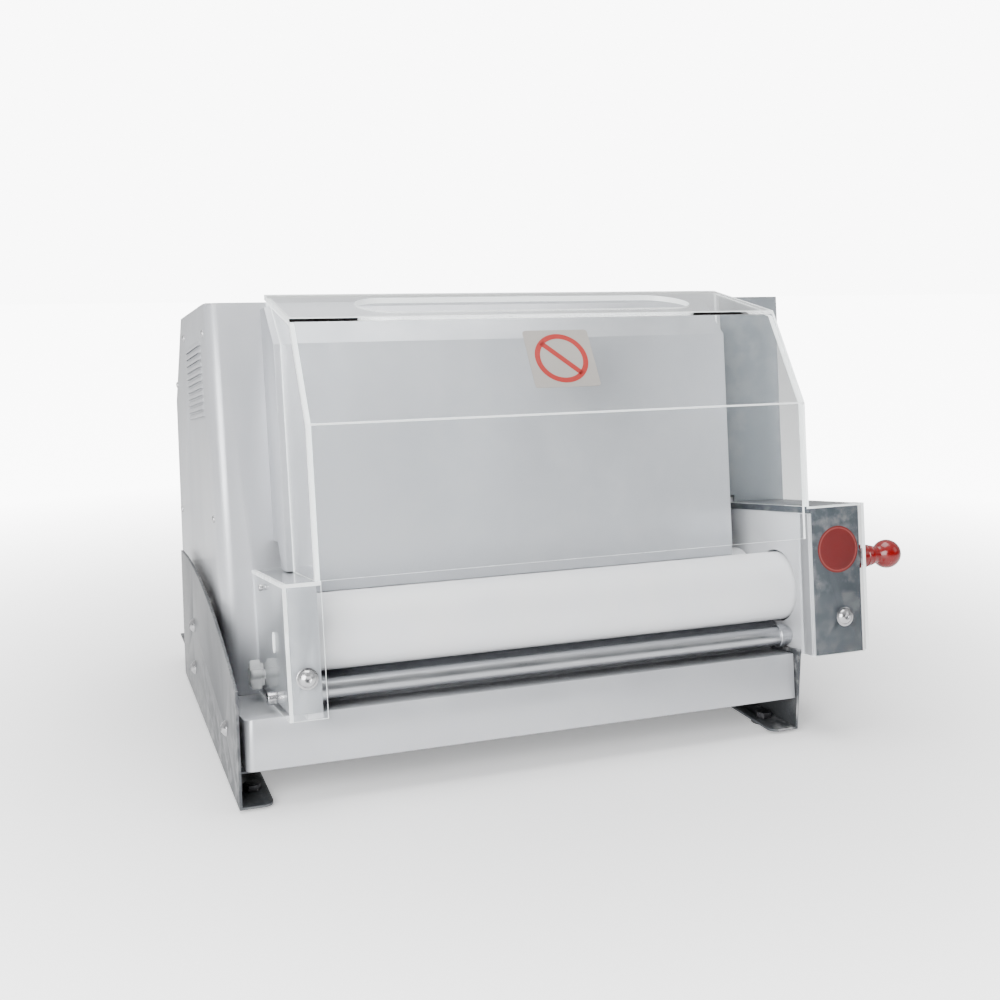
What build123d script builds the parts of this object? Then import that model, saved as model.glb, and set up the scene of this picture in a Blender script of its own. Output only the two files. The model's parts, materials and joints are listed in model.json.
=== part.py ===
# Bench-top dough sheeter with one pair of 500 mm rollers.
# Millimetres, +Z up, front towards -Y, thickness lever on the +X side.
# The origin is the bottom centre of the whole machine's box.
#
# Everything but the legs and the pan is drawn upright in the body's own axes,
# with X along the rollers, Y back from the apron and Z up, and is then leaned back.
from build123d import *
import os
from math import atan2, cos, degrees, hypot, pi, radians, sin

# overall
leg_span = 570.0            # outer face of one leg plate to the other
leg_depth = 405.0
lean_angle = 8.5            # the whole upper body leans back by this
casing_left = 11.0
column_width = 71.0         # drive column beyond the right leg
casing_front = 118.0        # the casing's front sheet, body Y
casing_top = 457.0          # top front edge of the casing, body Z
sheet = 1.5
fit = 0.3                   # clearance between bodies that pass each other
shaft_fit = 0.03            # radial clearance of a shaft in its bush

# side profile of the casing, measured square to the bench
pan_level = 30.0
roof_back_y = 385.0
roof_back_z = 411.0
back_knee_y = 468.0
back_knee_z = 312.0
back_low_y = 480.0
back_low_z = 126.0
louvre_count = 11
louvre_low = 352.0          # lowest slot, body Z
louvre_pitch = 7.0
louvre_gap = 2.4
louvre_length = 118.0
louvre_setback = 47.0       # slots' front end behind the casing's front sheet
corner_bend = 14.0          # bend radius of the casing's left front corner

# legs
leg_plate = 2.5
leg_flange = 31.0
leg_front_height = 109.0
leg_back_height = 150.0
leg_crown_height = 156.0
leg_corner = 9.0
foot_thickness = 3.0
foot_radius = 13.0
foot_inset = 17.0           # foot centre in from the plate's outer face
foot_front_y = 38.0
foot_back_inset = 40.0      # rear foot short of the leg's back
pan_side = 2.0
bolt_dome = 7.5
bolt_shank = 4.0

# rollers
roller_radius = 35.5
roller_left = 73.5
roller_overhang = 5.0       # front roller beyond the right leg's face
rear_roller_gap = 1.5       # rear roller short of the right frame plate
roller_y = 30.0             # front roller axis
roller_z = 146.0
nip_closed = 1.0            # gap between the rollers at the thinnest setting
nip_travel = 4.5            # how much further the rear roller opens
shaft_radius = 10.0
bush_wall = 5.0
gear_teeth = 24
gear_width = 9.0
gear_left = 47.6

# frame plates
left_plate_x = 58.0
left_plate_thick = 14.0
right_plate_thick = 8.0
plate_front = -34.0
plate_back = 182.0
plate_bottom = 80.0
plate_top_left = 194.0
plate_top_right = 229.0
block_height = 36.0
block_back = 56.0           # carriage block behind the rear roller axis
block_front = 17.0
blade = 1.5                 # thickness of the scraper blades

# apron and exit
apron_face = -2.6
apron_left = 8.0
apron_bend = 8.0            # bend radius of the apron's left end
apron_right_inset = 3.0     # short of the right leg's face
apron_bottom = 33.0
ledge_z = 79.0
ledge_back = 38.0
slide_back = 100.0
slide_rise = 19.0

# guard bar
bar_radius = 9.5
bar_y = 12.0
bar_drop = 14.0             # tube's axis below the bottom of the front roller
bar_clearance = 3.0         # from the tube down to the cut in the right leg

# chute
chute_face = 58.0
chute_left = 64.0
chute_right_inset = 34.0
chute_bottom = 179.0
chute_bend = 411.0
chute_lip_y = 98.0
chute_lip_z = 450.0

# hood
acrylic = 5.0
hood_left = 70.0
hood_right_inset = 4.0
hood_front = -42.0
hood_knee_z = 334.0
hood_brow_y = 8.0
hood_brow_z = 430.0
hood_back_y = 125.0
hood_back_z = 465.0
slot_end = 75.0             # feed slot's ends in from the chute's ends
slot_width = 70.0

# side boxes
box_face = -37.8            # metal front face of both boxes
left_box_x = 45.6
left_box_top = 196.0
left_box_bottom = 86.0
guard_wall = 3.5
guard_left = 41.0
housing_width = 56.0        # adjuster housing beyond the right leg's face
housing_bottom = 81.0
housing_top = 231.0
disc_radius = 23.5
disc_inset = 30.4           # disc centre from the right leg's face
disc_z = 186.0

# thickness lever
pivot_y = 100.0
pivot_z = 105.0
knob_y = 0.0
knob_z = 172.0
knob_reach = 57.0           # ball centre beyond the arm's inner face
knob_ball = 15.0
lever_sweep = 30.0          # degrees from thinnest to thickest
arm_gap = 4.0               # arm's inner face beyond the housing
arm_thick = 5.0
lever_radius = 9.0
sleeve_length = 16.0        # plunger sleeve welded to the arm

# drive
motor_y = 267.0
motor_z = 245.0
motor_radius = 55.0
motor_length = 225.0
motor_inset = 25.0          # motor's end short of the right leg's face
belt_offset = 20.0          # belt beyond the right leg's face
belt_width = 12.0
driven_pulley_radius = 28.0
motor_pulley_radius = 14.0
belt_thick = 3.0

# controls
button_y = 210.0
start_z = 330.0
stop_z = 288.0
button_radius = 10.8
button_travel = 3.0
clamp_y = 84.0              # clamp knob on the left guard
clamp_z = 103.0
left_bolt_x = 58.3          # guard bolts
left_bolt_z = 117.0
right_bolt_x = 33.3         # from the right leg's face
right_bolt_z = 118.0
drive_floor = 62.0          # bottom of the drive cover, square to the bench
inlet_x = 90.0
inlet_z = 90.0
inlet_radius = 11.0

# worked out from the sizes above
foot_back_y = leg_depth - foot_back_inset
right_plate_x = leg_span + fit
casing_right = leg_span + column_width
roller_right = leg_span + roller_overhang
rear_roller_right = right_plate_x - rear_roller_gap
apron_right = leg_span - apron_right_inset
chute_right = leg_span - chute_right_inset
hood_right = leg_span - hood_right_inset
housing_right = leg_span + housing_width
disc_x = leg_span + disc_inset
arm_x = housing_right + arm_gap
knob_x = arm_x + knob_reach
motor_right = leg_span - motor_inset
motor_left = motor_right - motor_length
belt_x = leg_span + belt_offset
bar_z = roller_z - roller_radius - bar_drop
slot_length = chute_right - chute_left - 2 * slot_end + 30
rear_roller_y = roller_y + 2 * roller_radius + nip_closed
gear_module = (rear_roller_y - roller_y) / gear_teeth
right_plate_out = right_plate_x + right_plate_thick
left_plate_in = left_plate_x + left_plate_thick
leg_right_in = leg_span - leg_plate
ground = -foot_thickness


def block(x0, x1, y0, y1, z0, z1):
    return Pos((x0 + x1) / 2, (y0 + y1) / 2, (z0 + z1) / 2) * Box(x1 - x0, y1 - y0, z1 - z0)


def rod(x0, x1, y, z, radius):
    return Pos((x0 + x1) / 2, y, z) * Rot(0, 90, 0) * Cylinder(radius, x1 - x0)


def rod_y(y0, y1, x, z, radius):
    return Pos(x, (y0 + y1) / 2, z) * Rot(90, 0, 0) * Cylinder(radius, y1 - y0)


def rod_z(z0, z1, x, y, radius):
    return Pos(x, y, (z0 + z1) / 2) * Cylinder(radius, z1 - z0)


def prism(points, x0, x1):
    """A side profile of (Y, Z) points, pulled along X."""
    outline = Polyline(*[(x0, y, z) for y, z in points], close=True)
    return extrude(make_face(outline), amount=x1 - x0, dir=(1, 0, 0))


def strip(points, thickness, x0, x1):
    """A bent sheet: a chain of (Y, Z) points with the thickness on its left hand."""
    left = []
    count = len(points)
    for i in range(count):
        before = points[max(i - 1, 0)]
        after = points[min(i + 1, count - 1)]
        here = points[i]
        a = atan2(here[1] - before[1], here[0] - before[0]) if i > 0 else None
        b = atan2(after[1] - here[1], after[0] - here[0]) if i < count - 1 else None
        a = b if a is None else a
        b = a if b is None else b
        half = (b - a) / 2
        reach = thickness / cos(half)
        angle = (a + b) / 2 + pi / 2
        left.append((here[0] + reach * cos(angle), here[1] + reach * sin(angle)))
    return prism(list(points) + left[::-1], x0, x1)


def lean(shape):
    return Rot(-lean_angle, 0, 0) * shape


def to_world(y, z):
    a = radians(lean_angle)
    return (y * cos(a) + z * sin(a), -y * sin(a) + z * cos(a))


def to_body(y, z):
    a = radians(lean_angle)
    return (y * cos(a) - z * sin(a), y * sin(a) + z * cos(a))


def merge(shapes):
    """One node of several separate solids."""
    solids = []
    for shape in shapes:
        solids += list(shape.solids())
    return Compound(children=solids)


def fuse(*shapes):
    whole = shapes[0]
    for shape in shapes[1:]:
        whole = whole + shape
    return whole


# legs and pan (drawn square to the bench)
def leg_outline():
    crown = ThreePointArc(
        (0, 0, leg_front_height),
        (0, leg_depth * 0.42, leg_crown_height - 8),
        (0, leg_depth - 15, leg_back_height),
    )
    sides = [
        Line((0, leg_depth - 15, leg_back_height), (0, leg_depth, 0)),
        Line((0, leg_depth, 0), (0, 0, 0)),
        Line((0, 0, 0), (0, 0, leg_front_height)),
    ]
    return make_face([crown] + sides)


def leg(side):
    """side is +1 for the left leg, whose flange turns towards +X, and -1 for the right."""
    plate = extrude(leg_outline(), amount=leg_plate, dir=(1, 0, 0))
    flange = block(0, leg_flange, 0, leg_depth, 0, leg_plate)
    outer = [e for e in flange.edges().filter_by(Axis.Z) if e.center().X > leg_flange / 2]
    flange = fillet(outer, leg_corner)
    lip = block(0, leg_plate + 6, leg_depth - 19, leg_depth - 16.5, leg_back_height - 60, leg_back_height - 12)
    piece = fuse(plate, flange, lip)
    for y, z in leg_bolt_places():
        piece = piece - rod(-1, leg_plate + 1, y, z, bolt_shank + 0.1)
    for y in (foot_front_y, foot_back_y):
        piece = piece - rod_z(-1, leg_plate + 1, foot_inset, y, bolt_shank + 0.1)
    if side < 0:
        piece = Pos(leg_span, 0, 0) * mirror(piece, about=Plane.YZ)
        # the rollers and their carriage pass through the right plate behind the adjuster housing
        piece = piece - lean(block(leg_right_in - 1, leg_span + 1, plate_front - 10, plate_back,
                                   bar_z - bar_radius - bar_clearance, 300))
    return piece


def leg_bolt_places():
    return [(71, 51), (302, 38), (297, 87)]


def dome(radius, height):
    """A domed head standing on Z = 0."""
    big = (radius ** 2 + height ** 2) / (2 * height)
    return Pos(0, 0, height - big) * Sphere(big) & Pos(0, 0, height) * Box(4 * radius, 4 * radius, 2 * height)


def socket_cut(width, deep):
    return extrude(RegularPolygon(width / 2, 6), amount=-deep)


def dome_bolt(length):
    """Head above Z = 0, shank below it, with a hexagon socket."""
    head = dome(bolt_dome, 4.6)
    shank = rod_z(-length, 0.2, 0, 0, bolt_shank)
    return head + shank - Pos(0, 0, 4.7) * socket_cut(5, 2.6)


def leg_bolts():
    bolts = []
    for y, z in leg_bolt_places():
        bolts.append(Pos(0, y, z) * Rot(0, -90, 0) * dome_bolt(6))
        bolts.append(Pos(leg_span, y, z) * Rot(0, 90, 0) * dome_bolt(6))
    return merge(bolts)


def feet_places():
    return [(x, y) for x in (foot_inset, leg_span - foot_inset) for y in (foot_front_y, foot_back_y)]


def foot_pads():
    pads = []
    for x, y in feet_places():
        pad = rod_z(ground, 0, x, y, foot_radius) - rod_z(ground - 1, 1, x, y, bolt_shank + 0.1)
        pads.append(pad)
    return merge(pads)


def foot_bolts():
    bolts = []
    for x, y in feet_places():
        head = Pos(x, y, leg_plate) * extrude(RegularPolygon(8.5, 6), amount=6)
        bolts.append(head + rod_z(ground + 1, leg_plate + 0.2, x, y, bolt_shank))
    return merge(bolts)


def chassis_pan():
    floor = block(leg_plate, leg_right_in, 14, back_low_y - 14, pan_level - 2, pan_level)
    pan = floor
    for x in (leg_plate, leg_right_in - pan_side):
        front = block(x, x + pan_side, 52, 180, pan_level - 2, 64)
        back = block(x, x + pan_side, 175, leg_depth - 25, pan_level - 2, 98)
        pan = fuse(pan, front, back)
    for y, z in leg_bolt_places():
        pan = pan - rod(leg_plate - 1, leg_plate + pan_side + 1, y, z, bolt_shank + 0.1)
        pan = pan - rod(leg_right_in - pan_side - 1, leg_right_in + 1, y, z, bolt_shank + 0.1)
    return pan


# casing
def profile():
    """Casing side profile in the body's axes, clockwise from the bottom front."""
    a = radians(lean_angle)
    low_y = (casing_front + pan_level * sin(a)) / cos(a)
    return [
        to_body(low_y, pan_level),
        (casing_front, casing_top),
        to_body(roof_back_y, roof_back_z),
        to_body(back_knee_y, back_knee_z),
        to_body(back_low_y, back_low_z),
        to_body(back_low_y - 6, pan_level),
    ]


def profile_prism(x0, x1):
    return prism(profile(), x0, x1)


def casing_wrap(x1):
    """Front sheet and left side in one bend, before it is cut to the profile."""
    far = 700.0
    outer = block(casing_left, x1, casing_front, far, -200, 700)
    inner = block(casing_left + sheet, x1 + 1, casing_front + sheet, far + 1, -201, 701)
    return fillet(left_front_edges(outer), corner_bend) - fillet(left_front_edges(inner), corner_bend - sheet)


def louvres():
    """A column of vent slots through the left side."""
    y0 = casing_front + louvre_setback
    slots = []
    for i in range(louvre_count):
        z = louvre_low + louvre_pitch * i
        slots.append(block(casing_left - 1, casing_left + sheet + 1, y0, y0 + louvre_length, z, z + louvre_gap))
    return fuse(*slots)


def main_casing():
    front_end = right_plate_x - fit
    piece = casing_wrap(front_end) & profile_prism(casing_left, front_end)
    # below the leg's crown the front stops at the right leg plate, and it opens behind the rollers
    piece = piece - block(leg_right_in - pan_side - fit, front_end + 1, 100, 700, -100, 190)
    piece = piece - block(left_box_x + sheet, left_plate_in + 3, 100, 150, plate_bottom - fit, left_box_top - sheet)
    piece = piece - block(left_plate_in + 3, front_end + 1, 100, 150, 60, 225)
    return piece - louvres()


def rear_cover():
    points = profile()
    chain = [points[5], points[4], points[3], points[2], points[1]]
    sheet_top = strip(chain, sheet, casing_left + sheet, casing_right - sheet)
    front_trim = block(0, 700, 0, casing_front + sheet, 300, 600)
    cover = sheet_top - front_trim - drive_low_cut() - casing_wrap(casing_right)
    return cover - Rot(lean_angle, 0, 0) * inlet_place() * Cylinder(inlet_radius, 20)


def drive_low_cut():
    """Everything right of the leg that lies below the drive cover's floor."""
    low = block(leg_right_in - 4, casing_right + 5, 0, 700, -100, drive_floor)
    return Rot(lean_angle, 0, 0) * low


def drive_cover():
    x0 = right_plate_x
    outer = profile_prism(x0, casing_right)
    inner = prism(inset_points(profile(), sheet), x0 - 1, casing_right - sheet)
    shell = outer - inner
    shell = shell - drive_low_cut()
    floor = Rot(lean_angle, 0, 0) * block(x0, casing_right - sheet, casing_front, back_low_y - 6,
                                          drive_floor, drive_floor + sheet)
    shell = shell + (floor & profile_prism(x0, casing_right))
    # the roof and back belong to the rear cover, so only the front, right side and floor stay
    shell = shell - rear_band(x0 - 1, casing_right - sheet)
    shell = shell - block(x0 - 1, right_plate_out + fit, 110, plate_back + 2, 60, 238)
    shell = shell - block(right_plate_out, casing_right - 14, 110, 125, 92, 226)
    for z in (start_z, stop_z):
        shell = shell - rod(casing_right - 4, casing_right + 1, button_y, z, button_radius + 0.5)
    return shell


def inset_points(points, amount):
    """The closed profile moved inwards by the same amount all round."""
    count = len(points)
    moved = []
    for i in range(count):
        before = points[i - 1]
        here = points[i]
        after = points[(i + 1) % count]
        a = atan2(here[1] - before[1], here[0] - before[0])
        b = atan2(after[1] - here[1], after[0] - here[0])
        turn = (b - a + pi) % (2 * pi) - pi
        angle = a + turn / 2 - pi / 2
        reach = amount / cos(turn / 2)
        moved.append((here[0] + reach * cos(angle), here[1] + reach * sin(angle)))
    return moved


def rear_band(x0, x1):
    """The space that the roof and back sheets fill."""
    points = profile()
    chain = [points[5], points[4], points[3], points[2], points[1]]
    return strip(chain, sheet + 0.02, x0, x1) - block(0, 700, 0, casing_front + sheet, 300, 600)


# apron and exit
def front_apron():
    """Face, left cheek and ledge folded from one sheet, open at the back and below."""
    back = casing_front - 1
    outer = block(apron_left, apron_right, apron_face, back, apron_bottom, ledge_z)
    inner = block(apron_left + sheet, apron_right + 1, apron_face + sheet, back + 1, apron_bottom - 1, ledge_z - sheet)
    fold = fillet(left_front_edges(outer), apron_bend) - fillet(left_front_edges(inner), apron_bend - sheet)
    fold = fold - block(left_plate_x - 1, apron_right + 1, ledge_back, back + 1, ledge_z - 9, ledge_z + 1)
    above_pan = Rot(lean_angle, 0, 0) * block(0, left_plate_x, 12, 300, -100, pan_level + sheet)
    hem = block(apron_left + apron_bend, apron_right, apron_face, apron_face + 14, apron_bottom, apron_bottom + sheet)
    return fuse(fold - above_pan, hem)


def left_front_edges(body):
    box = body.bounding_box()
    return [e for e in body.edges().filter_by(Axis.Z)
            if e.center().X < box.min.X + 1 and e.center().Y < box.min.Y + 1]


def exit_slide():
    chain = [(ledge_back, ledge_z), (slide_back, ledge_z + slide_rise)]
    return strip(chain[::-1], sheet, left_plate_in + fit, apron_right - fit)


def guard_bar():
    tube = rod(left_plate_in, right_plate_x, bar_y, bar_z, bar_radius)
    return tube - rod(left_plate_in - 1, right_plate_x + 1, bar_y, bar_z, bar_radius - 2)


# frame plates
def frame_plate(x, thickness, top, roller_hole):
    front = block(x, x + thickness, plate_front, casing_front + 8, plate_bottom, top)
    back = block(x, x + thickness, casing_front + 3, plate_back, plate_bottom + 22, 236)
    plate = fuse(front, back)
    plate = plate - rod(x - 1, x + thickness + 1, roller_y, roller_z, roller_hole)
    slot_front = rear_roller_y - block_front - fit
    slot_back = rear_roller_y + block_back + nip_travel + fit
    half = block_height / 2 + fit
    return plate - block(x - 1, x + thickness + 1, slot_front, slot_back, roller_z - half, roller_z + half)


def left_frame_plate():
    return frame_plate(left_plate_x, left_plate_thick, plate_top_left, shaft_radius + bush_wall)


def right_frame_plate():
    plate = frame_plate(right_plate_x, right_plate_thick, plate_top_right, roller_radius + 2)
    return plate - rod(right_plate_x - 1, right_plate_out + 1, pivot_y, pivot_z, lever_radius + shaft_fit)


def cross_bar():
    return block(left_plate_in, right_plate_x, plate_back - 12, plate_back - 4, 192, 232)


def bearing_flange():
    x0 = right_plate_out
    disc = rod(x0, x0 + 8, roller_y, roller_z, 46)
    disc = disc - rod(x0 - 1, x0 + 9, roller_y, roller_z, shaft_radius + bush_wall)
    return disc - block(x0 - 1, x0 + 9, rear_roller_y - block_front - fit - 2, 200, 100, 200)


def bush(x0, x1, y, z):
    body = rod(x0, x1, y, z, shaft_radius + bush_wall)
    return body - rod(x0 - 1, x1 + 1, y, z, shaft_radius + shaft_fit)


def front_bushes():
    left = bush(left_plate_x, left_plate_in, roller_y, roller_z)
    right = bush(right_plate_out, right_plate_out + 8, roller_y, roller_z)
    return merge([left, right])


# rollers
def roller(x0, x1, y):
    skin = rod(x0, x1, y, roller_z, roller_radius)
    skin = skin - rod(x0 - 1, x1 + 1, y, roller_z, shaft_radius)
    edges = [e for e in skin.edges().filter_by(GeomType.CIRCLE) if e.radius > roller_radius - 1]
    return chamfer(edges, 1.0)


def gear(x0, y, turn):
    """A straight-toothed gear with tapered teeth and room for backlash."""
    pitch = gear_module * gear_teeth / 2
    tip = pitch + gear_module * 0.95
    root = pitch - gear_module * 1.2
    step = 2 * pi / gear_teeth
    points = []
    for i in range(gear_teeth):
        mid = i * step + turn
        for radius, share in ((root, -0.31), (tip, -0.13), (tip, 0.13), (root, 0.31)):
            angle = mid + share * step
            points.append((y + radius * cos(angle), roller_z + radius * sin(angle)))
    wheel = prism(points, x0, x0 + gear_width)
    return wheel - rod(x0 - 1, x0 + gear_width + 1, y, roller_z, shaft_radius)


def front_shaft():
    return rod(gear_left, belt_x + belt_width + 2, roller_y, roller_z, shaft_radius)


def rear_shaft():
    return rod(gear_left, right_plate_out + 2, rear_roller_y, roller_z, shaft_radius)


def pulley(x, y, z, radius, bore):
    wheel = rod(x, x + belt_width, y, z, radius)
    left_rim = rod(x - 2, x, y, z, radius + belt_thick)
    right_rim = rod(x + belt_width, x + belt_width + 2, y, z, radius + belt_thick)
    return fuse(wheel, left_rim, right_rim) - rod(x - 3, x + belt_width + 3, y, z, bore)


# rear roller carriage
def carriage_block(x, thickness):
    y0 = rear_roller_y - block_front
    y1 = rear_roller_y + block_back
    body = block(x, x + thickness, y0, y1, roller_z - block_height / 2, roller_z + block_height / 2)
    return body - rod(x - 1, x + thickness + 1, rear_roller_y, roller_z, shaft_radius + bush_wall)


def carriage_blocks():
    left = carriage_block(left_plate_x, left_plate_thick)
    return merge([left, carriage_block(right_plate_x, right_plate_thick)])


def rear_bushes():
    left = bush(left_plate_x, left_plate_in, rear_roller_y, roller_z)
    right = bush(right_plate_x, right_plate_out, rear_roller_y, roller_z)
    return merge([left, right])


def carriage_tie():
    y0 = rear_roller_y + roller_radius + 6
    return block(left_plate_in, right_plate_x, y0, y0 + 12, roller_z - 6, roller_z + 6)


# scrapers
def scraper(axis_y, direction):
    """A thin blade under a roller; direction is +1 where it trails to the back, -1 to the front."""
    reach = roller_radius + 0.5
    start = radians(-90 - 26 * direction)
    tip = (axis_y + reach * cos(start), roller_z + reach * sin(start))
    end = (axis_y + 6 * direction, roller_z - roller_radius - 6.5)
    run = hypot(end[0] - tip[0], end[1] - tip[1])
    down = (blade * (end[1] - tip[1]) / run * direction, -blade * (end[0] - tip[0]) / run * direction)
    corners = [tip, end, (end[0] + down[0], end[1] + down[1]), (tip[0] + down[0], tip[1] + down[1])]
    return prism(corners, left_plate_in + 2, rear_roller_right - 2)


def rear_scraper():
    """The rear blade travels with its roller, so it carries two ears up to the blocks."""
    knife = scraper(rear_roller_y, 1)
    y0 = rear_roller_y + 1
    z0 = roller_z - roller_radius - 8
    bar = block(left_plate_in + fit, right_plate_x - fit, y0 + 4, y0 + 12, z0 - 8, z0 + 1.5)
    left = block(left_plate_in + fit, left_plate_in + 1.3, y0 + 4, y0 + 12, z0 - 8, roller_z - block_height / 2 + 6)
    right = block(right_plate_x - 1.3, right_plate_x - fit, y0 + 4, y0 + 12, z0 - 8, roller_z - block_height / 2 + 6)
    return fuse(knife, bar, left, right)


# left box
def left_box_cover():
    x1 = left_plate_in - 0.7
    front = block(left_box_x, x1, box_face, box_face + sheet, left_box_bottom, left_box_top)
    side = block(left_box_x, left_box_x + sheet, box_face, casing_front, left_box_bottom, left_box_top)
    top = block(left_box_x, x1, box_face, casing_front - 3, left_box_top - sheet, left_box_top)
    return fuse(front, side, top) - rod_y(box_face - 1, box_face + 3, left_bolt_x, left_bolt_z, bolt_shank + 0.1)


def left_guard():
    x1 = left_plate_in + 3
    y0 = box_face - guard_wall - 0.2
    top = left_box_top + guard_wall + 0.2
    side = block(guard_left, guard_left + guard_wall, y0, casing_front, ledge_z + 1.5, top)
    face = block(guard_left, x1, y0, y0 + guard_wall, ledge_z + 1.5, top)
    lid = block(guard_left, x1, y0, casing_front, top - guard_wall, top)
    piece = fuse(side, face, lid)
    oval = fuse(rod(guard_left - 1, guard_left + 6, 19, 147, 4.5), rod(guard_left - 1, guard_left + 6, 19, 137, 4.5),
                block(guard_left - 1, guard_left + 6, 14.5, 23.5, 137, 147))
    piece = piece - oval - rod(guard_left - 1, guard_left + 6, clamp_y, clamp_z, bolt_shank + 0.6)
    return piece - rod_y(y0 - 1, y0 + guard_wall + 1, left_bolt_x, left_bolt_z, bolt_shank + 0.1)


# adjuster housing
def adjuster_housing():
    front = block(right_plate_x + 0.5, housing_right, box_face, box_face + sheet, housing_bottom, housing_top - 2)
    side = block(housing_right - sheet, housing_right, box_face, casing_front, housing_bottom, housing_top - 2)
    floor = block(right_plate_out, housing_right, box_face, casing_front, housing_bottom, housing_bottom + sheet)
    piece = fuse(front, side, floor)
    piece = piece - rod(housing_right - 4, housing_right + 1, pivot_y, pivot_z, lever_radius + 0.5)
    return piece - rod_y(box_face - 1, box_face + 3, leg_span + right_bolt_x, right_bolt_z, bolt_shank + 0.1)


def adjuster_lid():
    plate = block(right_plate_x - 1.5, housing_right + 2, box_face - 0.5, casing_front, housing_top - 2, housing_top)
    lip = block(right_plate_x - 1.5, right_plate_x, box_face, casing_front, housing_top - 7, housing_top)
    return plate + lip


def right_guard():
    x0 = right_plate_x - 4.3
    x1 = housing_right + 5
    y0 = box_face - guard_wall - 0.2
    face = block(x0, x1, y0, y0 + guard_wall, housing_bottom, housing_top)
    left = block(x0, right_plate_x, y0, y0 + 22, housing_bottom, housing_top - 7)
    left = left - block(x0 - 1, right_plate_x + 1, y0 + guard_wall, y0 + 30, housing_top - 7.5, housing_top + 1)
    right = block(x1 - guard_wall, x1, y0, y0 + 16, housing_bottom, housing_top)
    piece = fuse(face, left, right)
    piece = piece - block(x0 - 1, housing_right + 2.3, y0 + guard_wall - 0.3, 200, housing_top - 2.3, housing_top + 1)
    return piece - rod_y(y0 - 1, y0 + guard_wall + 1, leg_span + right_bolt_x, right_bolt_z, bolt_shank + 0.1)


def red_disc():
    disc = rod_y(box_face - 0.2, box_face, disc_x, disc_z, disc_radius)
    return disc


def guard_bolts():
    y0 = box_face - guard_wall - 0.2
    bolts = []
    for x, z in ((left_bolt_x, left_bolt_z), (leg_span + right_bolt_x, right_bolt_z)):
        bolts.append(Pos(x, y0, z) * Rot(90, 0, 0) * dome_bolt(7))
    return merge(bolts + guard_studs())


# chute and hood
def infeed_chute():
    chain = [(chute_lip_y, chute_lip_z), (chute_face, chute_bend), (chute_face, chute_bottom)]
    panel = strip(chain, sheet, chute_left, chute_right)
    side = [(chute_face, chute_bottom), (chute_face, chute_bend), (chute_lip_y, chute_lip_z),
            (casing_front, chute_lip_z), (casing_front, 226), (casing_front - 22, 226),
            (chute_face + 14, chute_bottom)]
    left = prism(side, chute_left, chute_left + sheet)
    right = prism(side, chute_right - sheet, chute_right)
    roof = block(chute_left, chute_right, chute_lip_y, casing_front, chute_lip_z - sheet, chute_lip_z)
    low = left_box_top + guard_wall + 1
    beside_box = block(chute_left - 1, left_plate_in + 4.5, 0, casing_front, chute_bottom - 20, low)
    return fuse(panel, left, right, roof) - beside_box


def hood_points():
    return [(hood_front, hood_low()), (hood_front, hood_knee_z), (hood_brow_y, hood_brow_z),
            (hood_back_y, hood_back_z)]


def hood_low():
    return housing_top + 0.3


def hood():
    shell = strip(hood_points(), -acrylic, hood_left, hood_right)
    mid_x = (chute_left + roller_right) / 2 + 2
    mid_y = (hood_brow_y + hood_back_y) / 2
    half = slot_length / 2 - slot_width / 2
    cut = fuse(rod_z(380, 520, mid_x - half, mid_y, slot_width / 2), rod_z(380, 520, mid_x + half, mid_y, slot_width / 2),
               block(mid_x - half, mid_x + half, mid_y - slot_width / 2, mid_y + slot_width / 2, 380, 520))
    return shell - cut


def hood_lower():
    """Narrow upright at the left that carries the hood's front down to the left box."""
    low = left_box_top + guard_wall + 0.2
    return block(hood_left, hood_right - acrylic, hood_front, hood_front + acrylic, low, hood_low())


def hood_side(x, low):
    inner = acrylic + 0.02
    y0 = hood_front + inner
    points = [(y0, low), (y0, hood_knee_z - 1.2), (hood_brow_y + 2.9, hood_brow_z - 6.2),
              (casing_front, hood_back_z - 8.2), (casing_front, low)]
    return prism(points, x, x + acrylic)


def hood_left_side():
    """The left panel stops at the chute's face and follows its lip."""
    panel = hood_side(hood_left, left_box_top + guard_wall + 0.3)
    gap = 0.6
    behind = [(chute_face - gap, 0), (chute_face - gap, chute_bend), (chute_lip_y - gap, chute_lip_z + gap),
              (casing_front + 1, chute_lip_z + gap), (casing_front + 1, 0)]
    return panel - prism(behind, hood_left - 1, hood_left + acrylic + 1)


def warning_plate():
    """Small metal plate on the hood's sloped face."""
    slope = atan2(hood_brow_z - hood_knee_z, hood_brow_y - hood_front)
    mid_y = (hood_brow_y + hood_front) / 2 + 2
    mid_z = (hood_brow_z + hood_knee_z) / 2 + 2 * sin(slope) / cos(slope)
    plate = Box(66, 62, 0.8)
    rise = Pos(0, 0, 0.42) * plate
    return Pos(320, mid_y, mid_z) * Rot(degrees(slope), 0, 0) * rise


# thickness lever
def lever_shaft():
    return rod(right_plate_x + 1, arm_x + arm_thick, pivot_y, pivot_z, lever_radius)


def eccentric_cam():
    cam = rod(right_plate_out + 4, right_plate_out + 12, pivot_y + 2, pivot_z + 2, 14)
    return cam - rod(right_plate_out + 3, right_plate_out + 13, pivot_y, pivot_z, lever_radius)


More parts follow.
